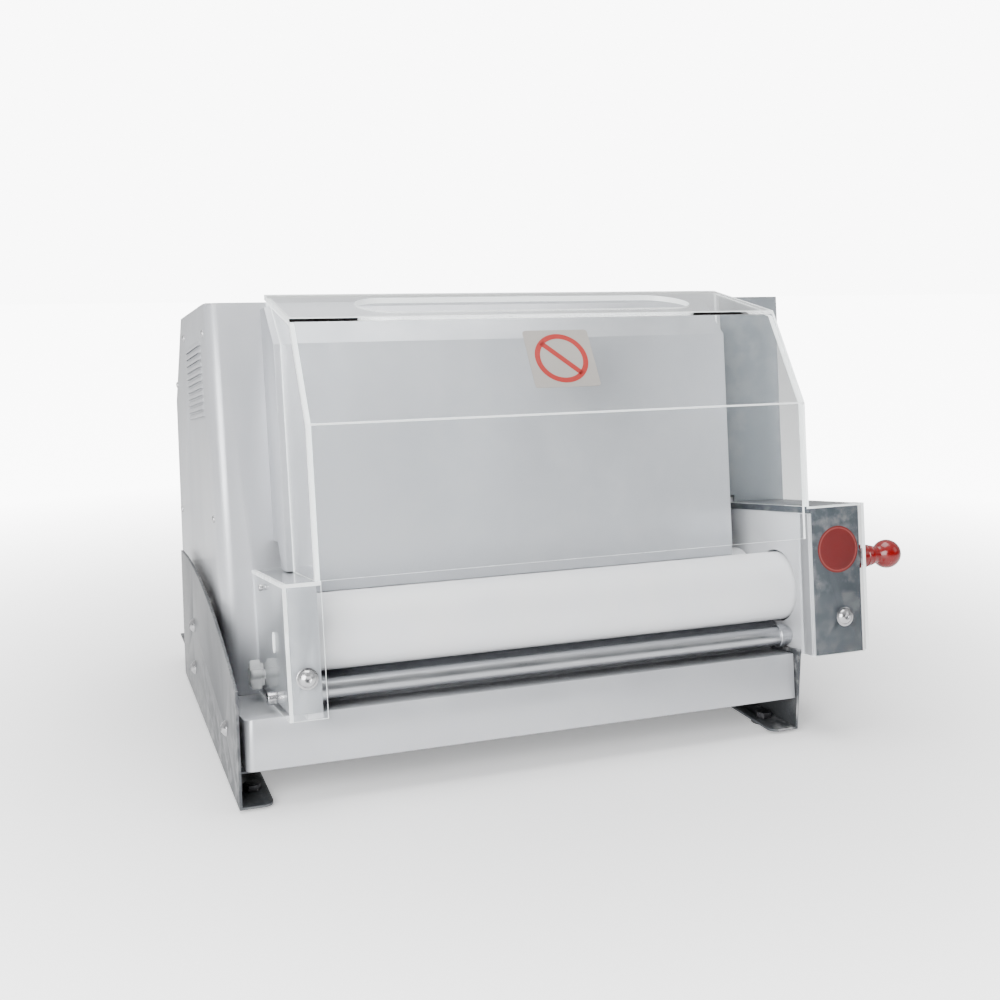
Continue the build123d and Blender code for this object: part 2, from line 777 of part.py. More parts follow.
def lever_arm():
    length = hypot(knob_y - pivot_y, knob_z - pivot_z)
    tilt = degrees(atan2(knob_z - pivot_z, knob_y - pivot_y))
    bar = Box(arm_thick, length, 20)
    mid = Pos(arm_x + arm_thick / 2, (knob_y + pivot_y) / 2, (knob_z + pivot_z) / 2)
    arm = mid * Rot(tilt, 0, 0) * bar
    arm = fuse(arm, rod(arm_x, arm_x + arm_thick, pivot_y, pivot_z, 14),
               rod(arm_x, arm_x + arm_thick, knob_y, knob_z, 12))
    sleeve = rod(arm_x + arm_thick - 1, arm_x + arm_thick + sleeve_length, knob_y, knob_z, 9)
    arm = arm + sleeve - rod(arm_x - 1, arm_x + arm_thick + 1, pivot_y, pivot_z, lever_radius)
    return arm - rod(arm_x - 1, knob_x, knob_y, knob_z, 4.05)


def plunger_pin():
    return rod(housing_right + 3 + fit, knob_x - 20, knob_y, knob_z, 4)


def lever_knob():
    x0 = arm_x + arm_thick + sleeve_length + fit
    x1 = knob_x - 8
    skirt = Pos((x0 + x1) / 2, knob_y, knob_z) * Rot(0, 90, 0) * Cone(12.5, 8.5, x1 - x0)
    ball = Pos(knob_x, knob_y, knob_z) * Sphere(knob_ball)
    return fuse(skirt, ball) - rod(x0 - 1, knob_x - 20, knob_y, knob_z, 4)


def index_plate():
    radius = hypot(knob_y - pivot_y, knob_z - pivot_z)
    start = degrees(atan2(knob_z - pivot_z, knob_y - pivot_y))
    x0 = housing_right
    ring = rod(x0, x0 + 3, pivot_y, pivot_z, radius + 12) - rod(x0 - 1, x0 + 4, pivot_y, pivot_z, radius - 12)
    far = radius + 60
    angles = [start + 6, start - lever_sweep / 2, start - lever_sweep - 5]
    wedge = [(pivot_y, pivot_z)]
    for angle in angles:
        wedge.append((pivot_y + far * cos(radians(angle)), pivot_z + far * sin(radians(angle))))
    plate = ring & prism(wedge, x0, x0 + 3)
    for i in range(7):
        angle = radians(start - i * lever_sweep / 6)
        y = pivot_y + radius * cos(angle)
        z = pivot_z + radius * sin(angle)
        plate = plate - rod(x0 + 1.5, x0 + 4, y, z, 4.3)
    return plate


# clamp knob on the left guard
def clamp_knob():
    x0 = guard_left - 0.3
    hub = rod(x0 - 13, x0, clamp_y, clamp_z, 10)
    shapes = [hub]
    for i in range(5):
        angle = radians(72 * i + 90)
        shapes.append(rod(x0 - 13, x0 - 3, clamp_y + 9.5 * cos(angle), clamp_z + 9.5 * sin(angle), 5.2))
    return fuse(*shapes)


def clamp_stud():
    return rod(guard_left - 0.3, left_box_x - 0.3, clamp_y, clamp_z, bolt_shank)


def guard_studs():
    spacer = rod(guard_left - 8, guard_left, 24, 91, 6)
    screw = rod(guard_left - 5, guard_left, 104, 90, 4)
    pivot = rod(guard_left - 4, guard_left, 60, 188, 3)
    return [spacer, screw, pivot]


# drive
def motor():
    y = motor_y
    z = motor_z
    shell = rod(motor_left, motor_right, y, z, motor_radius)
    end = rod(motor_right, motor_right + 9, y, z, motor_radius + 6)
    fan = rod(motor_left - 34, motor_left, y, z, motor_radius - 3)
    body = fuse(shell, end, fan)
    for i in range(24):
        angle = radians(15 * i)
        fin = Box(motor_right - motor_left - 30, 2.4, 14)
        place = Pos((motor_left + motor_right) / 2, y, z) * Rot(15 * i, 0, 0) * Pos(0, 0, motor_radius)
        body = body + place * fin
    return body - rod(motor_right - 30, motor_right + 12, y, z, 8 + shaft_fit)


def motor_bracket():
    x0 = motor_right + 9
    plate = block(x0, x0 + 5, motor_y - 66, motor_y + 66, motor_z - 66, motor_z + 66)
    foot = block(x0 - 30, x0 + 5, motor_y - 66, motor_y + 66, motor_z - 71, motor_z - 66)
    return fuse(plate, foot) - rod(x0 - 1, x0 + 6, motor_y, motor_z, 20)


def motor_shelf():
    """Shelf plate with four legs welded under it, standing on the pan."""
    top = motor_z - 77
    left = motor_left - 120
    stand = block(left, motor_right + 14, motor_y - 70, motor_y + 70, top, top + 6)
    for x in (left + 6, motor_right - 8):
        for y in (motor_y - 60, motor_y + 60):
            foot = to_world(y, top)
            floor = to_body(foot[0], pan_level)
            stand = stand + block(x, x + 12, y - 6, y + 6, floor[1] + 2, top)
    return stand


def motor_shaft():
    return rod(motor_right - 26, belt_x + belt_width + 2, motor_y, motor_z, 8)


def drive_belt():
    """Endless belt: outside hull of two pulleys less its inside."""
    inner = loop(driven_pulley_radius + fit, motor_pulley_radius + fit)
    outer = loop(driven_pulley_radius + fit + belt_thick - 1, motor_pulley_radius + fit + belt_thick - 1)
    return outer - inner


def loop(big, small):
    x0 = belt_x + fit
    width = belt_width - 2 * fit
    run = hypot(motor_y - roller_y, motor_z - roller_z)
    tilt = atan2(motor_z - roller_z, motor_y - roller_y)
    open_angle = tilt + (pi / 2 - atan2(big - small, run))
    shut_angle = tilt - (pi / 2 - atan2(big - small, run))
    points = []
    for y, z, radius in ((roller_y, roller_z, big), (motor_y, motor_z, small)):
        for angle in (open_angle, shut_angle):
            points.append((y + radius * cos(angle), z + radius * sin(angle)))
    quad = prism([points[0], points[2], points[3], points[1]], x0, x0 + width)
    ends = fuse(rod(x0, x0 + width, roller_y, roller_z, big), rod(x0, x0 + width, motor_y, motor_z, small))
    return fuse(quad, ends)


def terminal_box():
    back = casing_front + sheet
    return block(60, 150, back, back + 50, 250, 330)


# controls on the drive cover's right side
def control_plate():
    """Raised plate with a collar round each button."""
    plate = block(casing_right, casing_right + 3, button_y - 26, button_y + 26, stop_z - 32, start_z + 28)
    for z in (start_z, stop_z):
        plate = plate + rod(casing_right + 2, casing_right + 7, button_y, z, button_radius + 3.2)
        plate = plate - rod(casing_right - 1, casing_right + 8, button_y, z, button_radius + 0.5)
    return plate


def button(z, length):
    cap = rod(casing_right - sheet, casing_right + 3 + length, button_y, z, button_radius)
    rim = [e for e in cap.edges().filter_by(GeomType.CIRCLE) if e.center().X > casing_right + 4]
    return fillet(rim, 1.2)


def inlet_place():
    """Square to the back sheet, with +Z pointing out of the machine."""
    drop = (back_low_z - inlet_z) / (back_low_z - pan_level)
    tilt = degrees(atan2(6, back_low_z - pan_level))
    return Pos(inlet_x, back_low_y - 6 * drop, inlet_z) * Rot(-90 - tilt, 0, 0)


def power_inlet():
    shank = Pos(0, 0, -2) * Cylinder(inlet_radius, 12)
    collar = Pos(0, 0, 2.5) * Cylinder(inlet_radius + 4, 5)
    nut = Pos(0, 0, -sheet - 5) * extrude(RegularPolygon(inlet_radius + 5, 6), amount=5)
    mouth = Pos(0, 0, 4) * Cylinder(inlet_radius - 5, 30)
    return inlet_place() * (fuse(shank, collar, nut) - mouth)


upright = {
    "left_leg": leg(1),
    "right_leg": leg(-1),
    "leg_bolts": leg_bolts(),
    "foot_pads": foot_pads(),
    "foot_bolts": foot_bolts(),
    "chassis_pan": chassis_pan(),
    "power_inlet": power_inlet(),
}

leaning = {
    "main_casing": main_casing(),
    "rear_cover": rear_cover(),
    "drive_cover": drive_cover(),
    "front_apron": front_apron(),
    "exit_slide": exit_slide(),
    "guard_bar": guard_bar(),
    "left_frame_plate": left_frame_plate(),
    "right_frame_plate": right_frame_plate(),
    "cross_bar": cross_bar(),
    "bearing_flange": bearing_flange(),
    "front_bushes": front_bushes(),
    "front_roller": roller(roller_left, roller_right, roller_y),
    "front_shaft": front_shaft(),
    "front_gear": gear(gear_left, roller_y, 0.0),
    "driven_pulley": pulley(belt_x, roller_y, roller_z, driven_pulley_radius, shaft_radius),
    "rear_roller": roller(roller_left, rear_roller_right, rear_roller_y),
    "rear_shaft": rear_shaft(),
    "rear_gear": gear(gear_left, rear_roller_y, pi / gear_teeth),
    "carriage_blocks": carriage_blocks(),
    "rear_bushes": rear_bushes(),
    "carriage_tie": carriage_tie(),
    "front_scraper": scraper(roller_y, -1),
    "rear_scraper": rear_scraper(),
    "left_box_cover": left_box_cover(),
    "left_guard": left_guard(),
    "adjuster_housing": adjuster_housing(),
    "adjuster_lid": adjuster_lid(),
    "right_guard": right_guard(),
    "red_disc": red_disc(),
    "guard_bolts": guard_bolts(),
    "infeed_chute": infeed_chute(),
    "hood": fuse(hood(), hood_lower()),
    "hood_left_side": hood_left_side(),
    "hood_right_side": hood_side(hood_right - acrylic, housing_top + 0.3),
    "warning_plate": warning_plate(),
    "lever_shaft": lever_shaft(),
    "eccentric_cam": eccentric_cam(),
    "lever_arm": lever_arm(),
    "plunger_pin": plunger_pin(),
    "lever_knob": lever_knob(),
    "index_plate": index_plate(),
    "clamp_knob": clamp_knob(),
    "clamp_stud": clamp_stud(),
    "motor": motor(),
    "motor_bracket": motor_bracket(),
    "motor_shelf": motor_shelf(),
    "motor_shaft": motor_shaft(),
    "motor_pulley": pulley(belt_x, motor_y, motor_z, motor_pulley_radius, 8),
    "drive_belt": drive_belt(),
    "terminal_box": terminal_box(),
    "control_plate": control_plate(),
    "start_button": button(start_z, 7),
    "stop_button": button(stop_z, 9),
}

parts = dict(upright)
for name, shape in leaning.items():
    parts[name] = lean(shape)

size = merge(parts.values()).bounding_box()
shift = Pos(-(size.min.X + size.max.X) / 2, -(size.min.Y + size.max.Y) / 2, -size.min.Z)

os.makedirs("parts", exist_ok=True)
for name, shape in parts.items():
    export_step(shift * shape, "parts/" + name + ".step")
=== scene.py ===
import bpy
import bmesh
import json
from math import atan2, cos, degrees, pi, radians, sin, sqrt
from mathutils import Matrix, Vector


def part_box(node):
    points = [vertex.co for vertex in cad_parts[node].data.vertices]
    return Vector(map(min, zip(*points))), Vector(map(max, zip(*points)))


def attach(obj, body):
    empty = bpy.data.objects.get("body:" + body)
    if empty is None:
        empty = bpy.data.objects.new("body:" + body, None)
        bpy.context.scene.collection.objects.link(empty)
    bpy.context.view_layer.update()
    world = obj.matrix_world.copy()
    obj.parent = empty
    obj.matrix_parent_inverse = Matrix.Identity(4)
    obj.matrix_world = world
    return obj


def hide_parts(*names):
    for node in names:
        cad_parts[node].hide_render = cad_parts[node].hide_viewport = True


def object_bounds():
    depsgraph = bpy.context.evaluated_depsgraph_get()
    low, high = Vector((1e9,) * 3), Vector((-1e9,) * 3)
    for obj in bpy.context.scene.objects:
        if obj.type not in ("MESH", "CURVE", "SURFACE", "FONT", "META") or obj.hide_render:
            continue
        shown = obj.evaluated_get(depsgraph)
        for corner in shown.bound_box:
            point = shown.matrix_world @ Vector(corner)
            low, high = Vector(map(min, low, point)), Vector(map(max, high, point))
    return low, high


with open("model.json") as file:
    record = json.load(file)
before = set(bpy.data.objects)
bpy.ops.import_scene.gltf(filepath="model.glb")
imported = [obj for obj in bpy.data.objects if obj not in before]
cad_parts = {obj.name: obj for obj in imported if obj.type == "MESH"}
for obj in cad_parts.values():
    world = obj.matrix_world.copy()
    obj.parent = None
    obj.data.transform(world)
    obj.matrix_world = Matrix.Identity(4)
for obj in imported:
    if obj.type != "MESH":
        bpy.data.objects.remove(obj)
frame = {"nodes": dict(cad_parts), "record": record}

cadLow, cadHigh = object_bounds()
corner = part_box("left_leg")[0]            # the left leg's front bottom outer corner
leanAngle = 8.5                           # the body leans back on its legs
mm = 0.001
benchFrame = Matrix.Translation(corner) @ Matrix.Scale(mm, 4)
bodyFrame = Matrix.Translation(corner) @ Matrix.Rotation(radians(-leanAngle), 4, "X") @ Matrix.Scale(mm, 4)


# shader groups shared by several finishes
def newGroup(name, inputs, outputs):
    tree = bpy.data.node_groups.new(name, "ShaderNodeTree")
    kinds = {"value": "NodeSocketFloat", "vector": "NodeSocketVector"}
    for label, kind, start in inputs:
        socket = tree.interface.new_socket(name=label, in_out="INPUT", socket_type=kinds[kind])
        socket.default_value = start
    for label, kind in outputs:
        tree.interface.new_socket(name=label, in_out="OUTPUT", socket_type=kinds[kind])
    return tree, tree.nodes.new("NodeGroupInput"), tree.nodes.new("NodeGroupOutput")


def addNode(tree, kind, **values):
    made = tree.nodes.new("ShaderNode" + kind)
    for key, value in values.items():
        if hasattr(made, key):
            setattr(made, key, value)
        else:
            made.inputs[key.replace("_", " ")].default_value = value
    return made


def maths(tree, operation, a, b, clamp=False):
    made = tree.nodes.new("ShaderNodeMath")
    made.operation = operation
    made.use_clamp = clamp
    for i, item in enumerate((a, b)):
        if isinstance(item, (int, float)):
            made.inputs[i].default_value = item
        else:
            tree.links.new(item, made.inputs[i])
    return made.outputs[0]


def spread(tree, source, low, high, outLow=0.0, outHigh=1.0):
    made = addNode(tree, "MapRange", From_Min=low, From_Max=high, To_Min=outLow, To_Max=outHigh)
    tree.links.new(source, made.inputs["Value"])
    return made.outputs["Result"]


def noiseAt(tree, coords, scale, detail=4.0, rough=0.55, stretch=None):
    if stretch:
        mapping = addNode(tree, "Mapping", Scale=stretch)
        tree.links.new(coords, mapping.inputs["Vector"])
        coords = mapping.outputs["Vector"]
    made = addNode(tree, "TexNoise", Scale=scale, Detail=detail, Roughness=rough)
    tree.links.new(coords, made.inputs["Vector"])
    return made.outputs["Fac"]


def mixColour(tree, factor, a, b):
    made = tree.nodes.new("ShaderNodeMix")
    made.data_type = "RGBA"
    for index, item in ((0, factor), (6, a), (7, b)):
        if isinstance(item, (tuple, list, float, int)):
            made.inputs[index].default_value = item
        else:
            tree.links.new(item, made.inputs[index])
    return made.outputs[2]


def buildSurfaceAge():
    # slow clouds, wiped smears, specks in patches and fine grain, all in object space
    outputs = [("Cloud", "value"), ("Smear", "value"), ("Speck", "value"), ("Grain", "value")]
    tree, start, end = newGroup("surfaceAge", [("Size", "value", 1.0)], outputs)
    coords = addNode(tree, "TexCoord").outputs["Object"]
    scaled = tree.nodes.new("ShaderNodeVectorMath")
    scaled.operation = "SCALE"
    tree.links.new(coords, scaled.inputs[0])
    tree.links.new(start.outputs["Size"], scaled.inputs["Scale"])
    base = scaled.outputs[0]
    cloud = noiseAt(tree, base, 6.0, 5.0, 0.6)
    smear = noiseAt(tree, base, 14.0, 6.0, 0.65, (1.0, 1.0, 0.28))
    speck = addNode(tree, "TexVoronoi", Scale=170.0, feature="F1")
    tree.links.new(base, speck.inputs["Vector"])
    dots = spread(tree, speck.outputs["Distance"], 0.10, 0.03)
    patch = spread(tree, noiseAt(tree, base, 9.0, 2.0), 0.55, 0.75)
    grain = noiseAt(tree, base, 1300.0, 3.0, 0.6)
    tree.links.new(spread(tree, cloud, 0.3, 0.7), end.inputs["Cloud"])
    tree.links.new(spread(tree, smear, 0.42, 0.72), end.inputs["Smear"])
    tree.links.new(maths(tree, "MULTIPLY", dots, patch), end.inputs["Speck"])
    tree.links.new(grain, end.inputs["Grain"])
    return tree


def buildFlourDust():
    # dust that settles in patches on faces turned upwards
    tree, start, end = newGroup("flourDust", [("Amount", "value", 0.3)], [("Mask", "value")])
    geometry = addNode(tree, "NewGeometry")
    split = addNode(tree, "SeparateXYZ")
    tree.links.new(geometry.outputs["Normal"], split.inputs[0])
    coords = addNode(tree, "TexCoord").outputs["Object"]
    upward = spread(tree, split.outputs["Z"], 0.35, 0.95)
    patches = spread(tree, noiseAt(tree, coords, 22.0, 8.0, 0.7), 0.42, 0.72)
    fine = spread(tree, noiseAt(tree, coords, 480.0, 4.0, 0.7), 0.35, 0.65)
    mask = maths(tree, "MULTIPLY", maths(tree, "MULTIPLY", upward, patches), fine)
    tree.links.new(maths(tree, "MULTIPLY", mask, start.outputs["Amount"], True), end.inputs["Mask"])
    return tree


def buildBrushLines():
    # long fine lines that run along whichever axis has the small stretch value
    tree, start, end = newGroup("brushLines", [("Stretch", "vector", (1.0, 60.0, 60.0))],
                                [("Line", "value"), ("Scratch", "value")])
    coords = addNode(tree, "TexCoord").outputs["Object"]
    mapping = tree.nodes.new("ShaderNodeVectorMath")
    mapping.operation = "MULTIPLY"
    tree.links.new(coords, mapping.inputs[0])
    tree.links.new(start.outputs["Stretch"], mapping.inputs[1])
    line = noiseAt(tree, mapping.outputs[0], 26.0, 6.0, 0.7)
    scratch = noiseAt(tree, mapping.outputs[0], 9.0, 3.0, 0.5)
    tree.links.new(spread(tree, line, 0.3, 0.7), end.inputs["Line"])
    tree.links.new(spread(tree, scratch, 0.60, 0.68), end.inputs["Scratch"])
    return tree


def buildEdgeRub():
    # sharp outer edges rubbed bare, broken up by noise
    tree, start, end = newGroup("edgeRub", [("Amount", "value", 0.5)], [("Mask", "value")])
    point = addNode(tree, "NewGeometry").outputs["Pointiness"]
    coords = addNode(tree, "TexCoord").outputs["Object"]
    edge = spread(tree, point, 0.53, 0.62)
    broken = spread(tree, noiseAt(tree, coords, 60.0, 5.0, 0.6), 0.45, 0.62)
    rubbed = maths(tree, "MULTIPLY", edge, broken)
    tree.links.new(maths(tree, "MULTIPLY", rubbed, start.outputs["Amount"], True), end.inputs["Mask"])
    return tree


groups = {
    "surfaceAge": buildSurfaceAge(),
    "flourDust": buildFlourDust(),
    "brushLines": buildBrushLines(),
    "edgeRub": buildEdgeRub(),
}
print("shader groups built")


def placeGroup(tree, name, **values):
    made = tree.nodes.new("ShaderNodeGroup")
    made.node_tree = groups[name]
    for key, value in values.items():
        made.inputs[key].default_value = value
    return made


def newMaterial(name, **constants):
    material = bpy.data.materials.new(name)
    material.use_nodes = True
    tree = material.node_tree
    tree.nodes.clear()
    shader = tree.nodes.new("ShaderNodeBsdfPrincipled")
    output = tree.nodes.new("ShaderNodeOutputMaterial")
    tree.links.new(shader.outputs[0], output.inputs["Surface"])
    for key, value in constants.items():
        shader.inputs[key.replace("_", " ")].default_value = value
    return material, tree, shader


def giveBump(tree, shader, height, strength, distance):
    bump = addNode(tree, "Bump", Strength=strength, Distance=distance)
    tree.links.new(height, bump.inputs["Height"])
    tree.links.new(bump.outputs[0], shader.inputs["Normal"])


marks = {"paintDust": (0.92, 0.91, 0.88, 1), "plasticDust": (0.9, 0.88, 0.85, 1),
         "clearSpeck": (0.8, 0.8, 0.78, 1), "steelSpeck": (0.25, 0.24, 0.22, 1),
         "steelScratch": (0.9, 0.9, 0.9, 1)}


def paintFinish(name, look):
    material, tree, shader = newMaterial(name, Metallic=look["metal"], Coat_Weight=look["coat"],
                                         Coat_Roughness=look["coatRough"])
    age = placeGroup(tree, "surfaceAge", Size=1.0)
    rub = placeGroup(tree, "edgeRub", Amount=look["rub"])
    dust = placeGroup(tree, "flourDust", Amount=look["dust"])
    body = mixColour(tree, age.outputs["Cloud"], look["colour"], look["shade"])
    smear = maths(tree, "MULTIPLY", age.outputs["Smear"], look["smear"])
    body = mixColour(tree, smear, body, look["smearColour"])
    body = mixColour(tree, maths(tree, "MULTIPLY", age.outputs["Speck"], 0.5), body, look["speckColour"])
    body = mixColour(tree, rub.outputs["Mask"], body, look["bare"])
    body = mixColour(tree, dust.outputs["Mask"], body, marks["paintDust"])
    tree.links.new(body, shader.inputs["Base Color"])
    rough = spread(tree, age.outputs["Smear"], 0.0, 1.0, look["rough"], look["rough"] + look["roughSpan"])
    rough = maths(tree, "ADD", rough, maths(tree, "MULTIPLY", dust.outputs["Mask"], 0.4), True)
    tree.links.new(rough, shader.inputs["Roughness"])
    giveBump(tree, shader, age.outputs["Grain"], look["peel"], 0.00012)
    return material


def steelFinish(name, look):
    material, tree, shader = newMaterial(name, Metallic=1.0)
    age = placeGroup(tree, "surfaceAge", Size=1.4)
    line = placeGroup(tree, "brushLines", Stretch=look["stretch"])
    body = mixColour(tree, line.outputs["Line"], look["colour"], look["shade"])
    body = mixColour(tree, maths(tree, "MULTIPLY", age.outputs["Cloud"], 0.35), body, look["shade"])
    scratch = maths(tree, "MULTIPLY", line.outputs["Scratch"], 0.25)
    body = mixColour(tree, scratch, body, marks["steelScratch"])
    body = mixColour(tree, maths(tree, "MULTIPLY", age.outputs["Speck"], 0.5), body, marks["steelSpeck"])
    tree.links.new(body, shader.inputs["Base Color"])
    rough = spread(tree, line.outputs["Line"], 0.0, 1.0, look["rough"], look["rough"] + 0.14)
    rough = maths(tree, "ADD", rough, maths(tree, "MULTIPLY", age.outputs["Smear"], 0.12), True)
    tree.links.new(rough, shader.inputs["Roughness"])
    giveBump(tree, shader, line.outputs["Line"], look["bump"], 0.00005)
    return material


def plasticFinish(name, look):
    material, tree, shader = newMaterial(name, Coat_Weight=look["coat"], Coat_Roughness=0.06)
    age = placeGroup(tree, "surfaceAge", Size=2.0)
    dust = placeGroup(tree, "flourDust", Amount=look["dust"])
    body = mixColour(tree, age.outputs["Cloud"], look["colour"], look["shade"])
    body = mixColour(tree, maths(tree, "MULTIPLY", age.outputs["Smear"], 0.35), body, look["smearColour"])
    body = mixColour(tree, dust.outputs["Mask"], body, marks["plasticDust"])
    tree.links.new(body, shader.inputs["Base Color"])
    rough = spread(tree, age.outputs["Smear"], 0.0, 1.0, look["rough"], look["rough"] + 0.16)
    tree.links.new(rough, shader.inputs["Roughness"])
    giveBump(tree, shader, age.outputs["Grain"], look["bump"], 0.0001)
    return material


def clearFinish(name, look):
    material, tree, shader = newMaterial(name, Transmission_Weight=look["clear"], IOR=look["ior"],
                                         Metallic=0.0)
    age = placeGroup(tree, "surfaceAge", Size=1.2)
    dust = placeGroup(tree, "flourDust", Amount=look["dust"])
    body = mixColour(tree, maths(tree, "MULTIPLY", age.outputs["Smear"], 0.4), look["colour"], look["shade"])
    body = mixColour(tree, maths(tree, "MULTIPLY", age.outputs["Speck"], 0.3), body, marks["clearSpeck"])
    tree.links.new(body, shader.inputs["Base Color"])
    rough = spread(tree, age.outputs["Smear"], 0.0, 1.0, look["rough"], look["rough"] + look["roughSpan"])
    rough = maths(tree, "ADD", rough, maths(tree, "MULTIPLY", dust.outputs["Mask"], 0.3), True)
    tree.links.new(rough, shader.inputs["Roughness"])
    giveBump(tree, shader, age.outputs["Cloud"], look["bump"], 0.0002)
    # a glow on the face colour: painted light, used for the bright lines on the acrylic's edges
    if look.get("glow"):
        tree.links.new(body, shader.inputs["Emission Color"])
        shader.inputs["Emission Strength"].default_value = look["glow"]
    return material


paint = {"metal": 0.0, "coat": 0.35, "coatRough": 0.12, "rub": 0.25, "dust": 0.25, "smear": 0.12,
         "rough": 0.30, "roughSpan": 0.16, "peel": 0.18, "speckColour": (0.35, 0.34, 0.32, 1),
         "bare": (0.62, 0.62, 0.62, 1)}


def painted(name, colour, shade, **changes):
    return paintFinish(name, {**paint, "colour": colour, "shade": shade, "smearColour": shade, **changes})


finishes = {
    "body_paint": painted("casingPaint", (0.58, 0.595, 0.62, 1), (0.52, 0.535, 0.565, 1),
                          metal=0.45, rough=0.34, coat=0.2),
    "rear_paint": painted("rearSheetPaint", (0.62, 0.63, 0.65, 1), (0.56, 0.57, 0.59, 1)),
    # the column's paint is made dark: painted shade for the shade and dark reflections the column shows
    "column_paint": painted("columnPaintedShade", (0.215, 0.235, 0.255, 1), (0.20, 0.22, 0.24, 1),
                            coat=0.2, roughSpan=0.06),
    # the legs are dark metal, made darker still: painted shade for the shadow inside and under them
    "leg_plate_metal": painted("legSheetWithPaintedShade", (0.078, 0.084, 0.092, 1), (0.066, 0.071, 0.079, 1),
                               metal=0.5, rough=0.4, rub=0.6, roughSpan=0.08, coat=0.15),
    "box_metal": steelFinish("boxSteel", {
        "colour": (0.60, 0.62, 0.64, 1), "shade": (0.50, 0.52, 0.55, 1),
        "rough": 0.34, "bump": 0.25, "stretch": (3.0, 3.0, 60.0)}),
    "satin_steel": steelFinish("satinSteel", {
        "colour": (0.52, 0.53, 0.55, 1), "shade": (0.40, 0.41, 0.43, 1),
        "rough": 0.24, "bump": 0.3, "stretch": (2.0, 70.0, 70.0)}),
    "bolt_chrome": steelFinish("boltPlating", {
        "colour": (0.58, 0.58, 0.59, 1), "shade": (0.46, 0.46, 0.47, 1),
        "rough": 0.14, "bump": 0.1, "stretch": (40.0, 40.0, 40.0)}),
    "dark_steel": steelFinish("blackenedSteel", {
        "colour": (0.11, 0.11, 0.115, 1), "shade": (0.06, 0.06, 0.065, 1),
        "rough": 0.42, "bump": 0.4, "stretch": (30.0, 30.0, 30.0)}),
    "bronze": steelFinish("bushBronze", {
        "colour": (0.62, 0.45, 0.22, 1), "shade": (0.45, 0.30, 0.13, 1),
        "rough": 0.3, "bump": 0.3, "stretch": (60.0, 10.0, 10.0)}),
    "roller_white": plasticFinish("rollerPlastic", {
        "colour": (0.80, 0.81, 0.83, 1), "shade": (0.75, 0.765, 0.79, 1),
        "smearColour": (0.84, 0.83, 0.80, 1), "rough": 0.36, "coat": 0.12, "dust": 0.35, "bump": 0.12}),
    "red_gloss": plasticFinish("redKnobPlastic", {
        "colour": (0.22, 0.0, 0.001, 1), "shade": (0.17, 0.0, 0.001, 1),
        "smearColour": (0.19, 0.001, 0.002, 1), "rough": 0.2, "coat": 0.25, "dust": 0.06, "bump": 0.04}),
    "green_plastic": plasticFinish("greenButton", {
        "colour": (0.02, 0.28, 0.07, 1), "shade": (0.015, 0.22, 0.05, 1),
        "smearColour": (0.03, 0.26, 0.08, 1), "rough": 0.25, "coat": 0.3, "dust": 0.1, "bump": 0.1}),
    "clear_plastic": clearFinish("cloudyKnob", {
        "colour": (0.9, 0.92, 0.92, 1), "shade": (0.8, 0.82, 0.82, 1),
        "clear": 0.45, "ior": 1.45, "rough": 0.18, "roughSpan": 0.15, "dust": 0.1, "bump": 0.2}),
    "black_rubber": plasticFinish("blackRubber", {
        "colour": (0.022, 0.022, 0.024, 1), "shade": (0.035, 0.035, 0.036, 1),
        "smearColour": (0.06, 0.06, 0.058, 1), "rough": 0.6, "coat": 0.0, "dust": 0.3, "bump": 0.5}),
    "motor_paint": painted("motorEnamel", (0.10, 0.12, 0.15, 1), (0.08, 0.095, 0.12, 1), rough=0.4),
    "acrylic": clearFinish("acrylicFace", {
        "colour": (0.975, 0.985, 0.985, 1), "shade": (0.95, 0.965, 0.965, 1),
        "clear": 1.0, "ior": 1.26, "rough": 0.012, "roughSpan": 0.03, "dust": 0.05, "bump": 0.03}),
}
guardAcrylic = clearFinish("guardAcrylic", {
    "colour": (0.975, 0.985, 0.985, 1), "shade": (0.95, 0.965, 0.965, 1),
    "clear": 1.0, "ior": 1.12, "rough": 0.012, "roughSpan": 0.03, "dust": 0.05, "bump": 0.004})
# the acrylic's edge faces glow: painted light standing in for light carried along the edges
acrylicEdgeGlow = clearFinish("acrylicEdgeGlow", {
    "colour": (0.93, 0.96, 0.96, 1), "shade": (0.86, 0.91, 0.91, 1),
    "clear": 0.2, "ior": 1.4, "rough": 0.2, "roughSpan": 0.2, "dust": 0.1, "bump": 0.2, "glow": 0.34})
discRed = plasticFinish("discRed", {
    "colour": (0.105, 0.001, 0.001, 1), "shade": (0.085, 0.001, 0.001, 1),
    "smearColour": (0.11, 0.003, 0.003, 1), "rough": 0.5, "coat": 0.0, "dust": 0.05, "bump": 0.1})
discRing = plasticFinish("discRing", {
    "colour": (0.20, 0.03, 0.027, 1), "shade": (0.17, 0.025, 0.022, 1), "smearColour": (0.28, 0.07, 0.06, 1),
    "rough": 0.45, "coat": 0.0, "dust": 0.05, "bump": 0.1})
signPlate = plasticFinish("signPlate", {
    "colour": (0.37, 0.35, 0.32, 1), "shade": (0.32, 0.30, 0.28, 1), "smearColour": (0.36, 0.345, 0.32, 1),
    "rough": 0.4, "coat": 0.1, "dust": 0.05, "bump": 0.06})
signRed = plasticFinish("signRed", {
    "colour": (0.40, 0.016, 0.012, 1), "shade": (0.33, 0.013, 0.010, 1),
    "smearColour": (0.36, 0.03, 0.022, 1), "rough": 0.4, "coat": 0.1, "dust": 0.05, "bump": 0.06})
